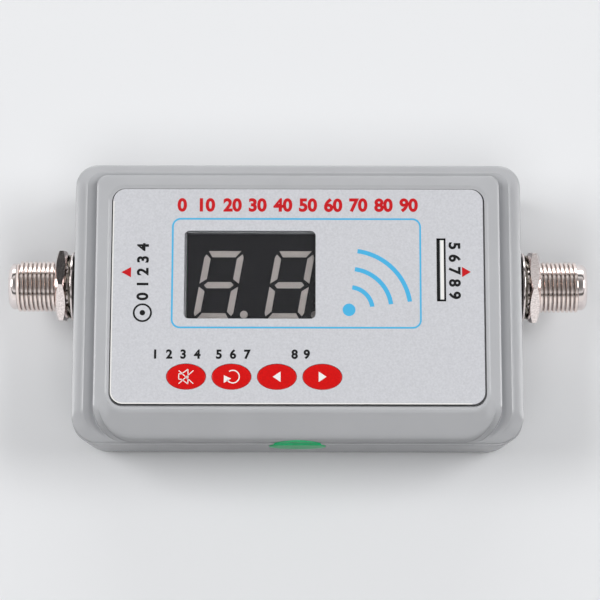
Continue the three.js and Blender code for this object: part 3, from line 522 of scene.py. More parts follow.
# A closed loft: each ring's edges are extruded and moved to the next ring
def lofted(rings, steps, x=0):
    bm = bmesh.new()
    verts = addRing(bm, steps, *rings[0])
    edges = bm.edges[:]
    for ring in rings[1:]:
        shape = bmesh.new()
        places = [v.co.copy() for v in addRing(shape, steps, *ring)]
        shape.free()
        raised = bmesh.ops.extrude_edge_only(bm, edges=edges)["geom"]
        fresh = {item for item in raised if isinstance(item, bmesh.types.BMVert)}
        verts = [next(e.other_vert(v) for e in v.link_edges if e.other_vert(v) in fresh) for v in verts]
        edges = [item for item in raised
                 if isinstance(item, bmesh.types.BMEdge) and fresh.issuperset(item.verts)]
        for v, place in zip(verts, places):
            v.co = place
    bmesh.ops.contextual_create(bm, geom=edges)
    bmesh.ops.translate(bm, vec=(x, 0, 0), verts=bm.verts)
    faceOutward(bm)
    return bm


# A ring of the lid, its margins out from the label's edge and its drops down from the top
def labelRing(side, far, near, farCorner, nearCorner, sideDrop, nearDrop, fade=1):
    return (
        labelHalfX + side * mm,
        labelCentre.y - labelHalfY - near * mm,
        labelCentre.y + labelHalfY + far * mm,
        nearCorner * mm,
        farCorner * mm,
        caseTop - sideDrop * mm,
        caseTop - nearDrop * mm,
        fade,
    )


# A point on a smooth line through listed points, share from 0 to 1
def alongLine(points, share):
    place = share * (len(points) - 1)
    i = min(int(place), len(points) - 2)
    t = place - i
    p = [Vector(points[min(max(k, 0), len(points) - 1)]) for k in (i - 1, i, i + 1, i + 2)]
    return 0.5 * (2 * p[1] + (p[2] - p[0]) * t + (2 * p[0] - 5 * p[1] + 4 * p[2] - p[3]) * t ** 2
                  + (3 * p[1] - p[0] - 3 * p[2] + p[3]) * t ** 3)


def lidRings():
    form, chin = lidForm, lidForm["chin"]
    rim, corner = form["rim"], form["rimCorner"]
    rings = [labelRing(rim, rim, rim, corner, corner, 0, 0)]
    for i in range(1, chin["rings"] + 1):
        out, down = alongLine(form["chinShares"], i / chin["rings"])
        rings.append(labelRing(
            mix(rim, chin["side"], out), mix(rim, chin["far"], out), rim + chin["reach"] * out,
            mix(corner, chin["farCorner"], out), mix(corner, chin["nearCorner"], out), 0, chin["drop"] * down,
            mix(1, chin["fade"], out),
        ))
    ledge = [(chin["side"] + out, chin["far"] + farOut, chin["farCorner"] + out, chin["nearCorner"], down)
             for out, farOut, down in form["edge"]] + form["ledge"]
    for i, (side, far, farCorner, nearCorner, drop) in enumerate(ledge):
        share = (i + 1) / len(ledge)
        nearDrop = mix(*form["nearDrop"], share)
        fade = mix(chin["fade"], 1, min(share * form["fadeBack"], 1))
        rings.append(labelRing(side, far, form["nearMargin"], farCorner, nearCorner, drop, nearDrop, fade))
    return rings


def lidHollow():
    form, wall = lidForm["hollow"], lidForm["wall"]
    halfX = labelHalfX + (form["side"] - wall) * mm
    far = labelCentre.y + labelHalfY + (form["far"] - wall) * mm
    highNear = labelCentre.y - labelHalfY + form["near"] * mm
    lowNear = (wall - caseHalfY) * mm
    corners = (form["nearCorner"] * mm, form["farCorner"] * mm)
    under = caseTop - lidForm["panelTop"] * mm
    levels = [(highNear, under), (lowNear, (under + seamZ) / 2), (lowNear, seamZ - over)]
    return lofted([(halfX, near, far, *corners, z, z) for near, z in levels], 8)


# From one depth in a side wall to another, in order along X
def throughWall(side, depths):
    return sorted(side * (caseHalfX - depth) * mm for depth in depths)


# The round way for a connector through a side wall
def connectorWay(side):
    width = lidForm["slot"] * 2 * mm
    way = ovalPrism(0, 0, width, width, *throughWall(side, lidForm["slotDepths"]))
    bmesh.ops.transform(way, matrix=Matrix.Rotation(pi / 2, 4, "Y"), verts=way.verts)
    bmesh.ops.translate(way, vec=(0, axisY, axisZ), verts=way.verts)
    return way


# A tab of the lid that closes the top of the tray's open slot
def slotTab(side):
    form = lidForm["tab"]
    lowX, highX = throughWall(side, form["depths"])
    half = (lidForm["slot"] - form["gap"]) * mm
    low = Vector((lowX, axisY - half, axisZ + form["aboveAxis"] * mm))
    high = Vector((highX, axisY + half, seamZ + form["join"] * mm))
    return combine(boxPrism(low, high), (cut, connectorWay(side)))


# A plate of the label's outline, drawn in by an inset
def labelPlate(inset, corner, bottom, top, steps=12):
    length, depth = (half * 2 - inset * 2 * mm for half in (labelHalfX, labelHalfY))
    return roundedPrism(labelCentre.x, labelCentre.y, length, depth, corner * mm, bottom, top, steps)


# An oval way for a key through what lies over it
def keyWay(name, gap, bottom, top):
    centre, size = boxMiddle(f"{name}_key")
    return ovalPrism(centre.x, centre.y, size.x + gap * 2, size.y + gap * 2, bottom, top)


# The label's recess, with the bed that the label lies on left standing
def labelRecess():
    form, bed = lidForm["recess"], lidForm["bed"]
    x, y = (centre + shift * mm for centre, shift in zip(labelCentre, form["shift"]))
    rings = []
    for lip, down in lidForm["lip"]:
        grow, corner, z = (form["gap"] + lip) * mm, (form["corner"] + lip) * mm, caseTop - down * mm
        rings.append((labelHalfX + grow, y - labelHalfY - grow, y + labelHalfY + grow, corner, corner, z, z))
    stand = labelPlate(bed["inset"], bed["corner"], caseTop - over * 3, labelLow.z - bed["gap"] * mm, 14)
    return combine(lofted(rings, 14, x), (cut, stand))


def finishCover(bm, name, material):
    piece = finishPiece(bm, f"{name}_shell", material, replaced=[name], sharp=30)
    piece.modifiers.new("even normals", "WEIGHTED_NORMAL").keep_sharp = True


def buildTopCover(material):
    form, post = lidForm, lidForm["post"]
    under = caseTop - form["panelTop"] * mm
    gap = form["gap"] * mm
    length, depth, corner, rise = (v * mm for v in form["rebate"])
    rebate = roundedPrism(0, 0, labelHalfX * 2 + length, depth, corner, seamZ - over, seamZ + rise)
    centre, size = boxMiddle("display_pane")
    corner, bottom = (v * mm for v in form["seat"])
    seat = roundedPrism(centre.x, centre.y, size.x + gap * 2, size.y + gap * 2, corner,
                        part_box("display_pane")[0].z - bottom, caseTop)
    low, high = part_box("display_housing")
    opening = boxPrism(Vector((low.x - gap, low.y - gap, under - over * 2)),
                       Vector((high.x + gap, high.y + gap, caseTop)))
    steps = [(cut, tool) for tool in (lidHollow(), rebate, labelRecess(), seat, opening)]
    for name in keyNames:
        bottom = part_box(f"{name}_key")[0].z - form["keyDepth"] * mm
        centre, size = boxMiddle(f"{name}_stem")
        way = size.x + gap * 2
        steps += [(cut, keyWay(name, gap, bottom, caseTop)),
                  (cut, ovalPrism(centre.x, centre.y, way, way, under - over, caseTop, 32))]
    steps += [(join, slotTab(side)) for side in (-1, 1)]
    width, hole, postGap = (post[name] * mm for name in ("width", "hole", "gap"))
    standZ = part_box("main_board")[1].z + postGap
    for x, y in screwPlaces:
        steps += [(join, ovalPrism(x, y, width, width, standZ, under + postGap, 32)),
                  (cut, ovalPrism(x, y, hole, hole, standZ - over, under - over, 32))]
    finishCover(combine(lofted(lidRings(), form["cornerSteps"]), *steps), "top_cover", material)


trayForm = {
    "wall": 2.2, "sideDraft": 0.45, "nearDraft": 1.6,
    "nearCorner": 4.6, "baseNearCorner": 5.6, "farCorner": 4.0,
    "fillet": 2.0, "filletSteps": 8, "lip": [(0.34, 0), (0.1, 0.03), (0.03, 0.1), (0, 0.25)],
    "seamGap": 0.12, "tongue": {"inset": 1.3, "rise": 0.3},
    "post": 7.0, "postGap": 0.05, "well": 5.1, "wellDepth": 3, "hole": 2.8,
}
trayTop = seamZ / mm - trayForm["seamGap"]


# A ring of the tray at a height, drawn in by its draft and by an inset
def trayRing(z, inset):
    form, halfX, halfY = trayForm, caseHalfX, caseHalfY
    share = 1 - z / trayTop
    near = form["nearDraft"] * share + inset - halfY
    corner = mix(form["nearCorner"], form["baseNearCorner"], share) - inset
    far = max(form["farCorner"] - inset, form["wall"] / 2)
    side = form["sideDraft"] * share + inset
    return tuple(v * mm for v in (halfX - side, near, halfY - side, corner, far, z, z))


def buildBottomCover(material):
    form, tongue, wall = trayForm, trayForm["tongue"], trayForm["wall"]
    outer = [trayRing(trayTop - down, inset) for inset, down in form["lip"]]
    for i in range(form["filletSteps"] + 1):
        angle = (i / form["filletSteps"]) * (pi / 2)
        outer.append(trayRing(form["fillet"] * (1 - sin(angle)), form["fillet"] * (1 - cos(angle))))
    ring = trayRing(trayTop, tongue["inset"])
    rise = [(*ring[:5], z * mm, z * mm) for z in (trayTop + tongue["rise"], trayTop - wall)]
    top = trayRing(trayTop, wall)
    above = (*top[:5], trayTop * mm + over * 2, trayTop * mm + over * 2)
    steps = [(join, lofted(rise, 8)), (cut, lofted([above, top, trayRing(wall, wall)], 8))]
    half = lidForm["slot"] * mm
    for side in (-1, 1):
        lowX, highX = throughWall(side, lidForm["slotDepths"])
        slot = boxPrism(Vector((lowX, axisY - half, axisZ)), Vector((highX, axisY + half, caseTop)))
        steps += [(cut, connectorWay(side)), (cut, slot)]
    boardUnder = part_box("main_board")[0].z
    post, well, hole = (form[name] * mm for name in ("post", "well", "hole"))
    for x, y in screwPlaces:
        steps += [
            (join, ovalPrism(x, y, post, post, wall / 2 * mm, boardUnder - form["postGap"] * mm, 48)),
            (cut, ovalPrism(x, y, well, well, -over, form["wellDepth"] * mm, 48)),
            (cut, ovalPrism(x, y, hole, hole, 0, boardUnder + over, 32)),
        ]
    finishCover(combine(lofted(outer, 14), *steps), "bottom_cover", material)


# Face label, its printing and the keys

labelForm = {
    "corner": 2.3, "trim": 0.12, "windowCorner": 0.9, "edgeGap": 0.04, "cutEdgeHighlight": 0.22,
    "window": (-20.4, 3.2, -4.25, 12.05),  # left, right, near, far
    # a skirt under the film's edge, coloured near black: painted shade in the gap round the label
    "shadeSkirt": {"outer": 0.13, "inner": 0.33, "depth": 0.9, "join": 0.05},
    "unshadedDepth": 0.03,  # how far down from its face the film's edge keeps its own colour before the painted shade begins
    "lift": 0.004, "film": 0.012,  # the printing's place and thickness
}


def buildLabel(material):
    form, shadeSkirt = labelForm, labelForm["shadeSkirt"]
    corner = form["corner"]
    low, high = labelLow.z - shadeSkirt["depth"] * mm, labelLow.z + shadeSkirt["join"] * mm
    # a skirt under the film's edge, painted dark as shade in the gap round the label
    shadeSkirtRing = combine(labelPlate(shadeSkirt["outer"], corner, low, high),
                   (cut, labelPlate(shadeSkirt["inner"], corner, low - over, high + over)))
    left, right, near, far = (v * mm for v in form["window"])
    window = roundedPrism((left + right) / 2, labelCentre.y + (near + far) / 2, right - left, far - near,
                          form["windowCorner"] * mm, labelLow.z - over, labelHigh.z + over, 8)
    keyWays = [(cut, keyWay(name, form["edgeGap"] * mm, labelLow.z - over, labelHigh.z + over))
               for name in keyNames]
    plate = labelPlate(form["trim"], corner, labelLow.z, labelHigh.z)
    film = combine(plate, (join, shadeSkirtRing), (cut, window), *keyWays)
    finishPiece(film, "face_label_film", material, replaced=["face_label"])


# Lays a flat outline, made about the label's centre, on the film or on a key
def layPrint(bm, name, material, top=None, body="case"):
    raiseFaces(bm, labelForm["film"] * mm)
    level = (labelHigh.z if top is None else top) + labelForm["lift"] * mm
    place = Matrix.Translation((labelCentre.x, labelCentre.y, level))
    finishPiece(bm, name, material, body=body, place=place)


def flatLines(lines, width):
    bm = bmesh.new()
    for start, end in lines:
        a, b = Vector(start) * mm, Vector(end) * mm
        verts = bmesh.ops.create_grid(bm, x_segments=1, y_segments=1, size=0.5)["verts"]
        bmesh.ops.scale(bm, vec=((b - a).length, width * mm, 1), verts=verts)
        turn = Matrix.Rotation(atan2(b.y - a.y, b.x - a.x), 4, "Z")
        place = Matrix.Translation(((a.x + b.x) / 2, (a.y + b.y) / 2, 0))
        bmesh.ops.transform(bm, matrix=place @ turn, verts=verts)
    return bm


def flatArc(centre, radius, width, start, end, steps=24):
    bm = bmesh.new()
    inner, outer = (radius - width / 2) * mm, (radius + width / 2) * mm
    verts = [bm.verts.new((r * cos(start), r * sin(start), 0)) for r in (inner, outer)]
    edge = bm.edges.new(verts)
    full = abs(end - start - 2 * pi) < 1e-6
    bmesh.ops.spin(bm, geom=verts + [edge], cent=(0, 0, 0), axis=(0, 0, 1), angle=end - start, steps=steps,
                   use_merge=full)
    bmesh.ops.translate(bm, vec=(centre[0] * mm, centre[1] * mm, 0), verts=bm.verts)
    return bm


def flatShape(points):
    bm = bmesh.new()
    bm.faces.new([bm.verts.new((x * mm, y * mm, 0)) for x, y in points])
    return bm


def flatFrame(left, right, near, far, corner, width):
    bm = bmesh.new()
    addRounded(bm, (right - left) / 2 * mm, (near - far) / 2 * mm, (far - near) / 2 * mm,
               corner * mm, corner * mm, 8)
    middle = bm.faces[:]
    bmesh.ops.inset_region(bm, faces=middle, thickness=width * mm, use_even_offset=True, use_boundary=True)
    bmesh.ops.delete(bm, geom=middle, context="FACES_ONLY")
    bmesh.ops.translate(bm, vec=((left + right) / 2 * mm, (near + far) / 2 * mm, 0), verts=bm.verts)
    return bm


# Plain numbers in the built-in face, centred on a place and turned about it
def flatNumber(text, centre, height, weight=0, turn=0, spacing=1):
    curve = bpy.data.curves.new("number", "FONT")
    curve.body = text
    curve.size = height / 0.72 * mm  # the face's digits are 0.72 of its size
    curve.offset = weight * mm
    curve.space_character = spacing
    curve.resolution_u = 6
    curve.align_x = "CENTER"
    holder = bpy.data.objects.new("number", curve)
    bpy.context.scene.collection.objects.link(holder)
    mesh = bpy.data.meshes.new_from_object(holder.evaluated_get(bpy.context.evaluated_depsgraph_get()))
    bm = bmesh.new()
    bm.from_mesh(mesh)
    bpy.data.objects.remove(holder)
    bpy.data.curves.remove(curve)
    bpy.data.meshes.remove(mesh)
    lows = [min(v.co[k] for v in bm.verts) for k in (0, 1)]
    highs = [max(v.co[k] for v in bm.verts) for k in (0, 1)]
    bmesh.ops.translate(bm, vec=(-(lows[0] + highs[0]) / 2, -(lows[1] + highs[1]) / 2, 0), verts=bm.verts)
    place = Matrix.Translation((centre[0] * mm, centre[1] * mm, 0)) @ Matrix.Rotation(turn, 4, "Z")
    bmesh.ops.transform(bm, matrix=place, verts=bm.verts)
    bmesh.ops.remove_doubles(bm, verts=bm.verts, dist=1e-7)
    return bm


printForm = {
    "frame": {"left": -22.7, "right": 22.2, "near": -6.05, "far": 14.45, "corner": 1.6, "width": 0.32},
    "title": {"first": -20.9, "last": 20.0, "y": 16.9, "height": 2.35, "weight": 0.14},
    "waves": {"centre": (9.2, -2.6), "radii": (4.2, 7.6, 11.0), "width": 0.8, "dot": 1.15, "sweep": (8, 82)},
    "leftArrow": [(-31.7, 4.3), (-29.95, 3.35), (-29.95, 5.25)],
    "rightArrow": [(31.1, 4.45), (29.5, 5.4), (29.5, 3.5)],
    "bar": {"left": 24.95, "right": 26.6, "near": -1.0, "far": 10.7, "thick": 0.6, "thin": 0.34},
    "barInside": {"width": 0.58, "fromRight": 0.64, "fromEnds": 0.36},
    "socket": {"centre": (-27.8, -3.2), "radius": 1.55, "width": 0.34, "dot": 0.5},
    "numbers": [  # text, centre, height, weight, turn in degrees, spacing
        ("0 1 2 3 4", (-27.85, 4.4), 2.0, 0.1, 90, 1.05), ("5 6 7 8 9", (28.2, 4.7), 2.0, 0.1, -90, 1.05),
        ("1 2 3 4", (-21.45, -10.8), 1.6, 0.09, 0, 1.35), ("5 6 7", (-11.45, -10.8), 1.6, 0.09, 0, 1.35),
        ("8 9", (0.55, -10.8), 1.6, 0.09, 0, 1.2),
    ],
}


def flatDot(centre, width, steps):
    return flatArc(centre, width / 2, width, 0, 2 * pi, steps)


def printTitle(red):
    title = printForm["title"]
    numbers = []
    for i in range(10):
        place = (mix(title["first"], title["last"], i / 9), title["y"])
        numbers.append(flatNumber(str(10 * i), place, title["height"], title["weight"]))
    layPrint(merged(numbers), "print_scale_numbers", red)


def printWaves(blue):
    waves = printForm["waves"]
    sweep = [radians(angle) for angle in waves["sweep"]]
    arcs = [flatArc(waves["centre"], radius, waves["width"], *sweep) for radius in waves["radii"]]
    layPrint(merged([*arcs, flatDot(waves["centre"], waves["dot"], 32)]), "print_wave_arcs", blue)


def printBar(black, white):
    bar, inside = printForm["bar"], printForm["barInside"]
    left, right, near, far = bar["left"], bar["right"], bar["near"], bar["far"]
    thickX, half = left + bar["thick"] / 2, bar["thin"] / 2
    layPrint(merged([
        flatLines([((thickX, near), (thickX, far))], bar["thick"]),
        flatLines([((right - half, near), (right - half, far)), ((left, far - half), (right, far - half)),
                   ((left, near + half), (right, near + half))], bar["thin"]),
    ]), "print_bar_outline", black)
    x, short = right - inside["fromRight"], inside["fromEnds"]
    layPrint(flatLines([((x, near + short), (x, far - short))], inside["width"]), "print_bar_inside", white)


# The film's pale cut edge, drawn as a white strip on its face along the near and left sides only: partly its
# own colour, partly a painted highlight where those edges catch the light
def printCutEdgeHighlight(white):
    halfX, halfY = (half / mm - labelForm["trim"] for half in (labelHalfX, labelHalfY))
    edge = flatFrame(-halfX, halfX, -halfY, halfY, labelForm["corner"], labelForm["cutEdgeHighlight"])
    middles = [(face, face.calc_center_median()) for face in edge.faces]
    hidden = [face for face, middle in middles if middle.x > halfX / 2 * mm or middle.y > halfY / 2 * mm]
    bmesh.ops.delete(edge, geom=hidden, context="FACES")
    # white strip on the near and left edges only: painted highlight over the film's cut edge
    layPrint(edge, "label_cut_edge_highlight", white)


def buildPrinting(blue, red, black, white):
    form, socket = printForm, printForm["socket"]
    layPrint(flatFrame(**form["frame"]), "print_frame", blue)
    printTitle(red)
    layPrint(merged([flatShape(form["leftArrow"]), flatShape(form["rightArrow"])]), "print_side_arrows", red)
    printWaves(blue)
    printBar(black, white)
    printCutEdgeHighlight(white)
    ring = flatArc(socket["centre"], socket["radius"], socket["width"], 0, 2 * pi, 40)
    numbers = [flatNumber(text, centre, height, weight, radians(turn), spacing)
               for text, centre, height, weight, turn, spacing in form["numbers"]]
    marks = merged([ring, flatDot(socket["centre"], socket["dot"], 24), *numbers])
    layPrint(marks, "print_black_marks", black)


keyForm = {
    "section": [  # shares of the key's half width and of its height
        (0, 0), (0.985, 0), (1, 0.1), (1, 0.5), (0.99, 0.72), (0.965, 0.88), (0.9, 0.98), (0.6, 1.0),
        (0, 1.0),
    ],
    "line": 0.16, "arrowLine": 0.208,
    "speaker": [(-1.3, -0.5), (-0.75, -0.5), (0.35, -1.35), (0.35, 1.35), (-0.75, 0.5), (-1.3, 0.5)],
    "cross": [((-1.3, 1.1), (1.3, -1.3)), ((-1.3, -1.3), (1.3, 1.1))],
    "turn": {"centre": (0.25, 0), "radius": 1.15, "sweep": (-150, 125)},
    "turnHead": [(-1.35, 0.25), (-1.35, -1.15), (-0.05, -0.35)],
    "arrow": [(0.75, 0), (-0.65, 0.95), (-0.65, -0.95)],
}


def buildKey(name, red, white, symbol):
    low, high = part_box(f"{name}_key")
    centre, size = boxMiddle(f"{name}_key")
    bm = turned([(share / mm, height / mm) for share, height in keyForm["section"]], 72)
    bmesh.ops.scale(bm, vec=(size.x / 2, size.y / 2, size.z), verts=bm.verts)
    body = f"{name}_button"
    finishPiece(bm, f"{name}_key_pad", red, body=body, replaced=[f"{name}_key"],
                place=Matrix.Translation((centre.x, centre.y, low.z)), sharp=50)
    shift = (centre.x - labelCentre.x, centre.y - labelCentre.y, 0)
    bmesh.ops.translate(symbol, vec=shift, verts=symbol.verts)
    layPrint(symbol, f"{name}_key_symbol", white, top=high.z, body=body)


def mutedSpeaker():
    speaker, line = keyForm["speaker"], keyForm["line"]
    outline = flatLines(list(zip(speaker, speaker[1:] + speaker[:1])), line)
    return merged([outline, flatLines(keyForm["cross"], line)])


def turnArrow():
    turn = keyForm["turn"]
    sweep = [radians(angle) for angle in turn["sweep"]]
    arc = flatArc(turn["centre"], turn["radius"], keyForm["arrowLine"], *sweep, 28)
    return merged([arc, flatShape(keyForm["turnHead"])])


def arrowHead(side):
    return flatShape([(side * x, y) for x, y in keyForm["arrow"]])


# Connectors, each made along +Z from the middle of the case and then laid on its side

connectorForm = {
    "pitch": 0.794, "crest": 4.6, "root": 4.2, "footDepth": 0.06, "stepsPerTurn": 60, "fadeTurns": 0.7,
    "shoulder": 4.55, "tipLength": 1.4, "tip": 4.2, "face": 3.3, "bore": 4.85, "socket": 2.75, "way": 0.95,
    "floor": 8, "flange": (6.35, 1.9),  # corner radius, thickness
}


# One end's piece, laid on its side in place of its node
def finishPart(bm, end, name, material, node=None, sharp=32):
    turn = Matrix.Rotation(pi / 2 if end == "right" else -pi / 2, 4, "Y")
    return finishPiece(bm, f"{end}_{name}", material, sharp=sharp,
                       replaced=[f"{end}_{node}"] if node else (),
                       place=Matrix.Translation((0, axisY, axisZ)) @ turn)


# How far out from the middle a connector's node starts and ends, in millimetres
def spanAlong(node):
    low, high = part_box(node)
    return sorted((abs(low.x) / mm, abs(high.x) / mm))


def threadRidge(start, end):
    form = connectorForm
    pitch, foot, crest = form["pitch"], form["root"] - form["footDepth"], form["crest"]
    bm = bmesh.new()
    section = [(foot, -0.5), (crest, -0.25), (crest, 0.25), (foot, 0.5)]
    verts = [bm.verts.new((r * mm, 0, (start + z * pitch) * mm)) for r, z in section]
    face = bm.faces.new(verts)
    turns = (end - start) / pitch
    steps = round(turns * form["stepsPerTurn"])
    rise = Vector((0, 0, (end - start) / steps * mm))
    bmesh.ops.spin(bm, geom=[*verts, *face.edges, face], cent=(0, 0, 0), axis=(0, 0, 1), dvec=rise,
                   angle=2 * pi * turns, steps=steps, use_merge=False)
    # the ridge runs out into the root at its outer end
    for v in bm.verts:
        radius = hypot(v.co.x, v.co.y)
        left = (end + pitch / 2 - v.co.z / mm) / (pitch * form["fadeTurns"])
        limit = mix(foot - 0.04, crest, min(max(left, 0), 1)) * mm
        if radius > limit:
            v.co.x *= limit / radius
            v.co.y *= limit / radius
    return bm


def buildBarrel(end, material):
    form = connectorForm
    inner, outer = spanAlong(f"{end}_barrel")
    nutEnd = spanAlong(f"{end}_nut")[0]
    threadEnd = outer - form["tipLength"]
    shoulder, root, tip, face = (form[name] for name in ("shoulder", "root", "tip", "face"))
    socket, way = form["socket"], form["way"]
    floor = inner + form["floor"]
    body = turned([
        (socket, floor), (way, floor - 0.1), (way, inner), (shoulder, inner), (shoulder, nutEnd),
        (root, nutEnd + 0.1), (root, threadEnd + 0.1), (tip, threadEnd + 0.15), (tip, outer - 0.85),
        (tip - 0.07, outer - 0.6), (tip - 0.25, outer - 0.36), (face + 0.3, outer - 0.12),
        (face + 0.1, outer - 0.02), (face - 0.1, outer), (socket + 0.12, outer), (socket, outer - 0.12),
        (socket, floor),
    ], 96)
    corner, thickness = form["flange"]
    flange = hexPrism(corner, pi / 6, inner, inner + thickness)
    finishPart(threadRidge(nutEnd + 0.3, threadEnd - 0.2), end, "thread", threadNickel(), sharp=40)
    finishPart(merged([body, flange]), end, "barrel_turned", material, node="barrel", sharp=40)


nutForm = {"width": 12.7, "chamfer": 0.68, "bore": 4.72, "edge": 0.07}


def buildNut(end, turn, material):
    form, chamfer = nutForm, nutForm["chamfer"]
    start, stop = spanAlong(f"{end}_nut")
    corner = form["width"] / 3 ** 0.5
    flat = corner - chamfer * 2
    cone = turned([(0, start), (flat, start), (corner, start + chamfer), (corner, stop - chamfer),
                   (flat, stop), (0, stop)], 96)
    bore = turned([(0, start - 1), (form["bore"], start - 1), (form["bore"], stop + 1), (0, stop + 1)], 96)
    shaped = combine(hexPrism(corner, turn, start, stop), ("INTERSECT", cone), (cut, bore))
    piece = finishPart(shaped, end, "hex_nut", material, node="nut", sharp=20)
    edge = piece.modifiers.new("broken edges", "BEVEL")
    edge.width = form["edge"] * mm
    edge.segments = 2
    edge.limit_method = "ANGLE"
    edge.angle_limit = radians(22)


washerForm = {
    "gasket": (5.7, 0.2), "washer": (6.3, 0.08), "lockRing": (5.25, 0.05),  # rim, rounding of the rim
    "lockHalf": 0.16, "teeth": 12, "tooth": (4.95, 5.85, 0.75), "toothEdge": 0.05, "toothTwist": 16,
}


# A flat ring with rounded rims, from a bore to a rim
def flatRing(start, end, rim, rounding):
    bore, part = connectorForm["bore"], rounding * 0.3
    return turned([
        (bore, start), (rim - rounding, start), (rim - part, start + part), (rim, start + rounding),
        (rim, end - rounding), (rim - part, end - part), (rim - rounding, end), (bore, end), (bore, start),
    ], 96)


def lockWasher(middle):
    form = washerForm
    half, (inner, outer, halfWidth) = form["lockHalf"], form["tooth"]
    parts = [flatRing(middle - half, middle + half, *form["lockRing"])]
    for i in range(form["teeth"]):
        tooth = boxPrism(Vector((inner, -halfWidth, -half)) * mm, Vector((outer, halfWidth, half)) * mm)
        bmesh.ops.bevel(tooth, geom=tooth.edges[:], offset=form["toothEdge"] * mm, offset_type="OFFSET",
                        affect="EDGES", segments=2, profile=0.5, material=-1)
        twist = Matrix.Rotation(radians(form["toothTwist"]), 4, "X")
        around = Matrix.Rotation(2 * pi * i / form["teeth"], 4, "Z")
        place = Matrix.Translation((0, 0, middle * mm))
        bmesh.ops.transform(tooth, matrix=place @ around @ twist, verts=tooth.verts)
        parts.append(tooth)
    return merged(parts)


def buildWashers(end, nickel, steel, rubber):
    gasket = flatRing(*spanAlong(f"{end}_gasket"), *washerForm["gasket"])
    finishPart(gasket, end, "rubber_gasket", rubber, node="gasket")
    washer = flatRing(*spanAlong(f"{end}_washer"), *washerForm["washer"])
    finishPart(washer, end, "flat_washer", nickel, node="washer")
    lock = lockWasher(sum(spanAlong(f"{end}_toothed_washer")) / 2)
    finishPart(lock, end, "lock_washer", steel, node="toothed_washer")


socketForm = {
    "insulator": (0.85, 2.7), "throat": 1.1, "mouth": (1.5, 2.4),
    "pin": 0.35, "tube": (0.45, 0.78), "tubeLength": 11, "slitHalf": (0.9, 0.07), "slitDepth": 3,
}


def buildInsulator(end, material):
    form = socketForm
    start, stop = spanAlong(f"{end}_dielectric")
    bore, rim = form["insulator"]
    low, high = form["mouth"]
    insulator = turned([
        (bore, start), (rim, start), (rim, stop - 0.3), (rim - 0.1, stop - 0.1), (high, stop), (low, stop),
        (form["throat"], stop - 0.3), (bore, stop - 0.8), (bore, start),
    ])
    finishPart(insulator, end, "insulator", material, node="dielectric")


def buildContact(end, material):
    form = socketForm
    inner, outer = spanAlong(f"{end}_contact")
    pin, (bore, rim), start = form["pin"], form["tube"], outer - form["tubeLength"]
    contact = turned([
        (0, inner), (pin - 0.05, inner), (pin, inner + 0.05), (pin, start), (rim, start + 0.1),
        (rim, outer - 1.2), (rim - 0.08, outer - 0.5), (rim - 0.02, outer), (bore + 0.05, outer),
        (bore - 0.03, outer - 0.5), (bore, outer - 1.2), (bore, start + 1.5), (0, start + 1.4),
    ], 48)
    x, y = form["slitHalf"]
    slits = crossedBoxes((-x, -y, outer - form["slitDepth"]), (x, y, outer + 1))
    shaped = combine(contact, *((cut, slit) for slit in slits))
    finishPart(shaped, end, "spring_contact", material, node="contact")


# Case screws

screwForm = {
    "head": [(0, 0), (1.3, 0), (1.8, 0.14), (2.14, 0.5), (2.3, 1.0), (2.3, 1.35), (2.2, 1.6), (1.2, 1.6)],
    "shank": 1.2, "point": 1, "arm": ((-1.3, -0.27, -1), (1.3, 0.27, 0.85)),
}


def buildScrews(material):
    form = screwForm
    for name, (x, y) in zip(screwNames, screwPlaces):
        low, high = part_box(f"{name}_screw")
        length = (high.z - low.z) / mm
        body = turned([*form["head"], (form["shank"], length - form["point"]), (0, length)], 48)
        shaped = combine(body, *((cut, arm) for arm in crossedBoxes(*form["arm"])))
        finishPiece(shaped, f"{name}_case_screw", material, replaced=[f"{name}_screw"],
                    place=Matrix.Translation((x, y, low.z)))


# Seal sticker, laid down the near wall over the seam

sealForm = {"scale": 1.13, "rows": 30, "lift": 0.06, "film": 0.1, "seamStep": 0.3}


# How far towards the near side the wall reaches at a height, in millimetres
def nearWall(z):
    chin, foot, step = lidForm["chin"], trayForm["fillet"], sealForm["seamStep"]
    edge, seam = (labelCentre.y - labelHalfY) / mm - lidForm["rim"], seamZ / mm
    points = [(edge - chin["reach"] * out, caseTop / mm - chin["drop"] * down)
              for out, down in lidForm["chinShares"]]
    points += [(step - caseHalfY, seam), (-caseHalfY, seam - step),
               (trayForm["nearDraft"] * (1 - foot / trayTop) - caseHalfY, foot)]
    for (upperY, upperZ), (lowerY, lowerZ) in zip(points, points[1:]):
        if z >= lowerZ:
            return mix(lowerY, upperY, (z - lowerZ) / (upperZ - lowerZ))
    return points[-1][0]


def buildSeal(material):
    form = sealForm
    centre, size = boxMiddle("seam_seal")
    half = size / 2 * form["scale"]
    bm = bmesh.new()
    bmesh.ops.create_grid(bm, x_segments=form["rows"], y_segments=form["rows"], size=1)
    for v in bm.verts:  # from a square to a disc
        u, w = v.co.x, v.co.y
        x = u * (1 - w * w / 2) ** 0.5
        z = w * (1 - u * u / 2) ** 0.5
        height = (centre.z + z * half.z) / mm
        v.co = (centre.x + x * half.x, (nearWall(height) - form["lift"]) * mm, height * mm)
    piece = finishPiece(bm, "seam_seal_sticker", material, replaced=["seam_seal"], sharp=60)
    thickness = piece.modifiers.new("film", "SOLIDIFY")
    thickness.thickness = form["film"] * mm
    thickness.offset = 0


# What shows of the CAD nodes keeps its shape and gets its finish here

def dress(names, material):
    for name in names:
        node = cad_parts[name]
        node.data.materials.clear()
        node.data.materials.append(material)


legTops = {"substrate": 0.04, "chip": 1.4, "switch": 0.36}  # above the board


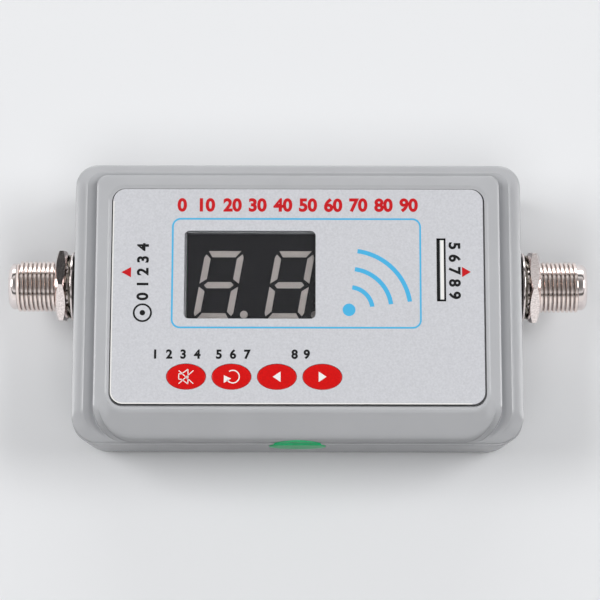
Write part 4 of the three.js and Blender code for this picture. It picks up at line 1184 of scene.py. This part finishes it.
def dressNodes():
    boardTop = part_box("main_board")[1].z
    substrate, chip, switch = (boardTop + legTops[name] * mm for name in ("substrate", "chip", "switch"))
    dress(["display_pane"], clearAcrylic())
    dress(["display_housing"], displayBody())
    dress(["display_segments"], segmentResin())
    dress(["display_substrate"], metalBelow("glass-epoxy plate", "d8d6c8", substrate))
    dress(["main_board"], boardLaminate())
    dress(["shield_can"], plainMetal("tinned steel sheet", "bdbbb6", 0.3, (1, 6, 1)))
    dress(["sounder"], plainMoulding("black moulded sounder", "1b1b1e", 0.45))
    dress(["control_chip"], metalBelow("black moulding epoxy", "1e1e20", chip))
    dress(["supply_choke"], plainMoulding("pressed ferrite", "2a2a2d", 0.6))
    dress(["smoothing_capacitor"], plainMoulding("printed shrink sleeve", "1c2f52", 0.35))
    dress([f"{name}_stem" for name in keyNames], plainMoulding("black acetal", "222226", 0.4))
    dress([f"{name}_switch" for name in keyNames], metalBelow("switch housing", "29292c", switch))


# Studio: a pale floor, a dim ceiling, strong softboxes at both ends and low strips before and behind

studio = {
    "floor": "e9eaec", "bounce": "505153", "floorSize": 3.0,
    # both skies by height and brightness
    "sky": [(0.0, 0.7), (0.47, 0.6), (0.505, 0.2), (0.7, 0.16), (0.85, 0.2), (1.0, 0.22)],
    "mirrored": [(0.0, 0.8), (0.5, 0.95), (0.77, 0.95), (0.785, 0.04), (0.862, 0.04), (0.871, 0.95),
                 (0.9, 0.9), (0.93, 0.45), (0.97, 0.24), (1.0, 0.2)],
    "unmirrored": ["near"],
    "lamps": {  # place, width, height, power
        "left": ((-0.62, 0.08, 0.62), 0.42, 0.42, 3.15),
        "right": ((0.62, 0.08, 0.62), 0.42, 0.42, 3.15),
        "far": ((0.0, 0.85, 0.3), 0.9, 0.26, 2.5),
        "near": ((0.0, -0.42, 0.8), 0.6, 0.4, 1.85),
    },
}


def buildStudio():
    bm = bmesh.new()
    bmesh.ops.create_grid(bm, x_segments=1, y_segments=1, size=studio["floorSize"] / 2)
    floor = addObject(bm, "floor")
    material, tree, shader = startMaterial("pale paper sweep", studio["floor"], 0.8)
    # seen or mirrored it is pale; it throws less light back on the meter's walls
    path = addNode(tree, "ShaderNodeLightPath")
    floorColour = mixColours(tree, path.outputs["Is Diffuse Ray"], studio["floor"], studio["bounce"])
    tree.links.new(floorColour, shader.inputs["Base Color"])
    spreadRoughness(tree, shader, noiseIn(tree, 40), 0.75, 0.85)
    floor.data.materials.append(material)

    bpy.context.scene.view_settings.view_transform = "Standard"
    world = bpy.context.scene.world or bpy.data.worlds.new("studio")
    bpy.context.scene.world = world
    world.use_nodes = True
    tree = world.node_tree
    place = addNode(tree, "ShaderNodeTexCoord")
    split = addNode(tree, "ShaderNodeSeparateXYZ", links={"Vector": place.outputs["Generated"]})
    rise = addNode(tree, "ShaderNodeMapRange", {"From Min": -1}, {"Value": split.outputs["Z"]})
    ramps = []
    for sky in (studio["sky"], studio["mirrored"]):
        ramp = addNode(tree, "ShaderNodeValToRGB", links={"Fac": rise.outputs["Result"]})
        stops = ramp.color_ramp.elements
        for height, _ in sky[1:-1]:
            stops.new(height)
        for stop, (_, level) in zip(stops, sky):
            stop.color = (level, level, level, 1)
        ramps.append(ramp.outputs["Color"])
    path = addNode(tree, "ShaderNodeLightPath")
    blend = mixColours(tree, path.outputs["Is Glossy Ray"], *ramps)
    tree.links.new(blend, tree.nodes["Background"].inputs["Color"])

    for name, (spot, width, height, power) in studio["lamps"].items():
        light = bpy.data.lights.new(f"{name} softbox", "AREA")
        light.shape = "RECTANGLE"
        light.size = width
        light.size_y = height
        light.energy = power
        lamp = bpy.data.objects.new(f"{name} softbox", light)
        bpy.context.scene.collection.objects.link(lamp)
        lamp.location = spot
        lamp.visible_glossy = name not in studio["unmirrored"]
        lamp.rotation_euler = Vector(spot).to_track_quat("Z", "Y").to_euler()


addCamera()
buildStudio()
print("studio ready")

buildTopCover(mouldedAbs("b5b6b9", "b8b9bc"))
print("top cover done")
# the bottom cover's grey is a touch darker than the lid's: painted shade for its lower walls
buildBottomCover(mouldedAbs("b3b4b7", "b6b7ba"))
print("bottom cover done")

buildLabel(printedFilm())
redInk, whiteInk = ink("red printing ink", "c40f18"), ink("white printing ink", "f0efec")
buildPrinting(ink("sky blue printing ink", "4bb3e2"), redInk, ink("black printing ink", "08080a"), whiteInk)
film = keyFilm()
symbols = [mutedSpeaker(), turnArrow(), arrowHead(-1), arrowHead(1)]
for name, symbol in zip(keyNames, symbols):
    buildKey(name, film, whiteInk, symbol)
print("label and keys done")

nickel, pitted, steel, rubber = nickelPlate(), pittedNickel(), springSteel(), blackRubber()
white = plainMoulding("white polyethylene", "e9e7e0", 0.4)
bronze = plainMetal("gold-flashed bronze", "c9a765", 0.25)
for end, turn in (("left", 0.325), ("right", -0.236)):
    buildBarrel(end, nickel)
    buildNut(end, turn, pitted)
    buildWashers(end, nickel, steel, rubber)
    buildInsulator(end, white)
    buildContact(end, bronze)
print("connectors done")

buildScrews(plainMetal("zinc-plated screw steel", "9b9a98", 0.32))
buildSeal(sealFilm())
dressNodes()
print("screws, seal and inner parts done")
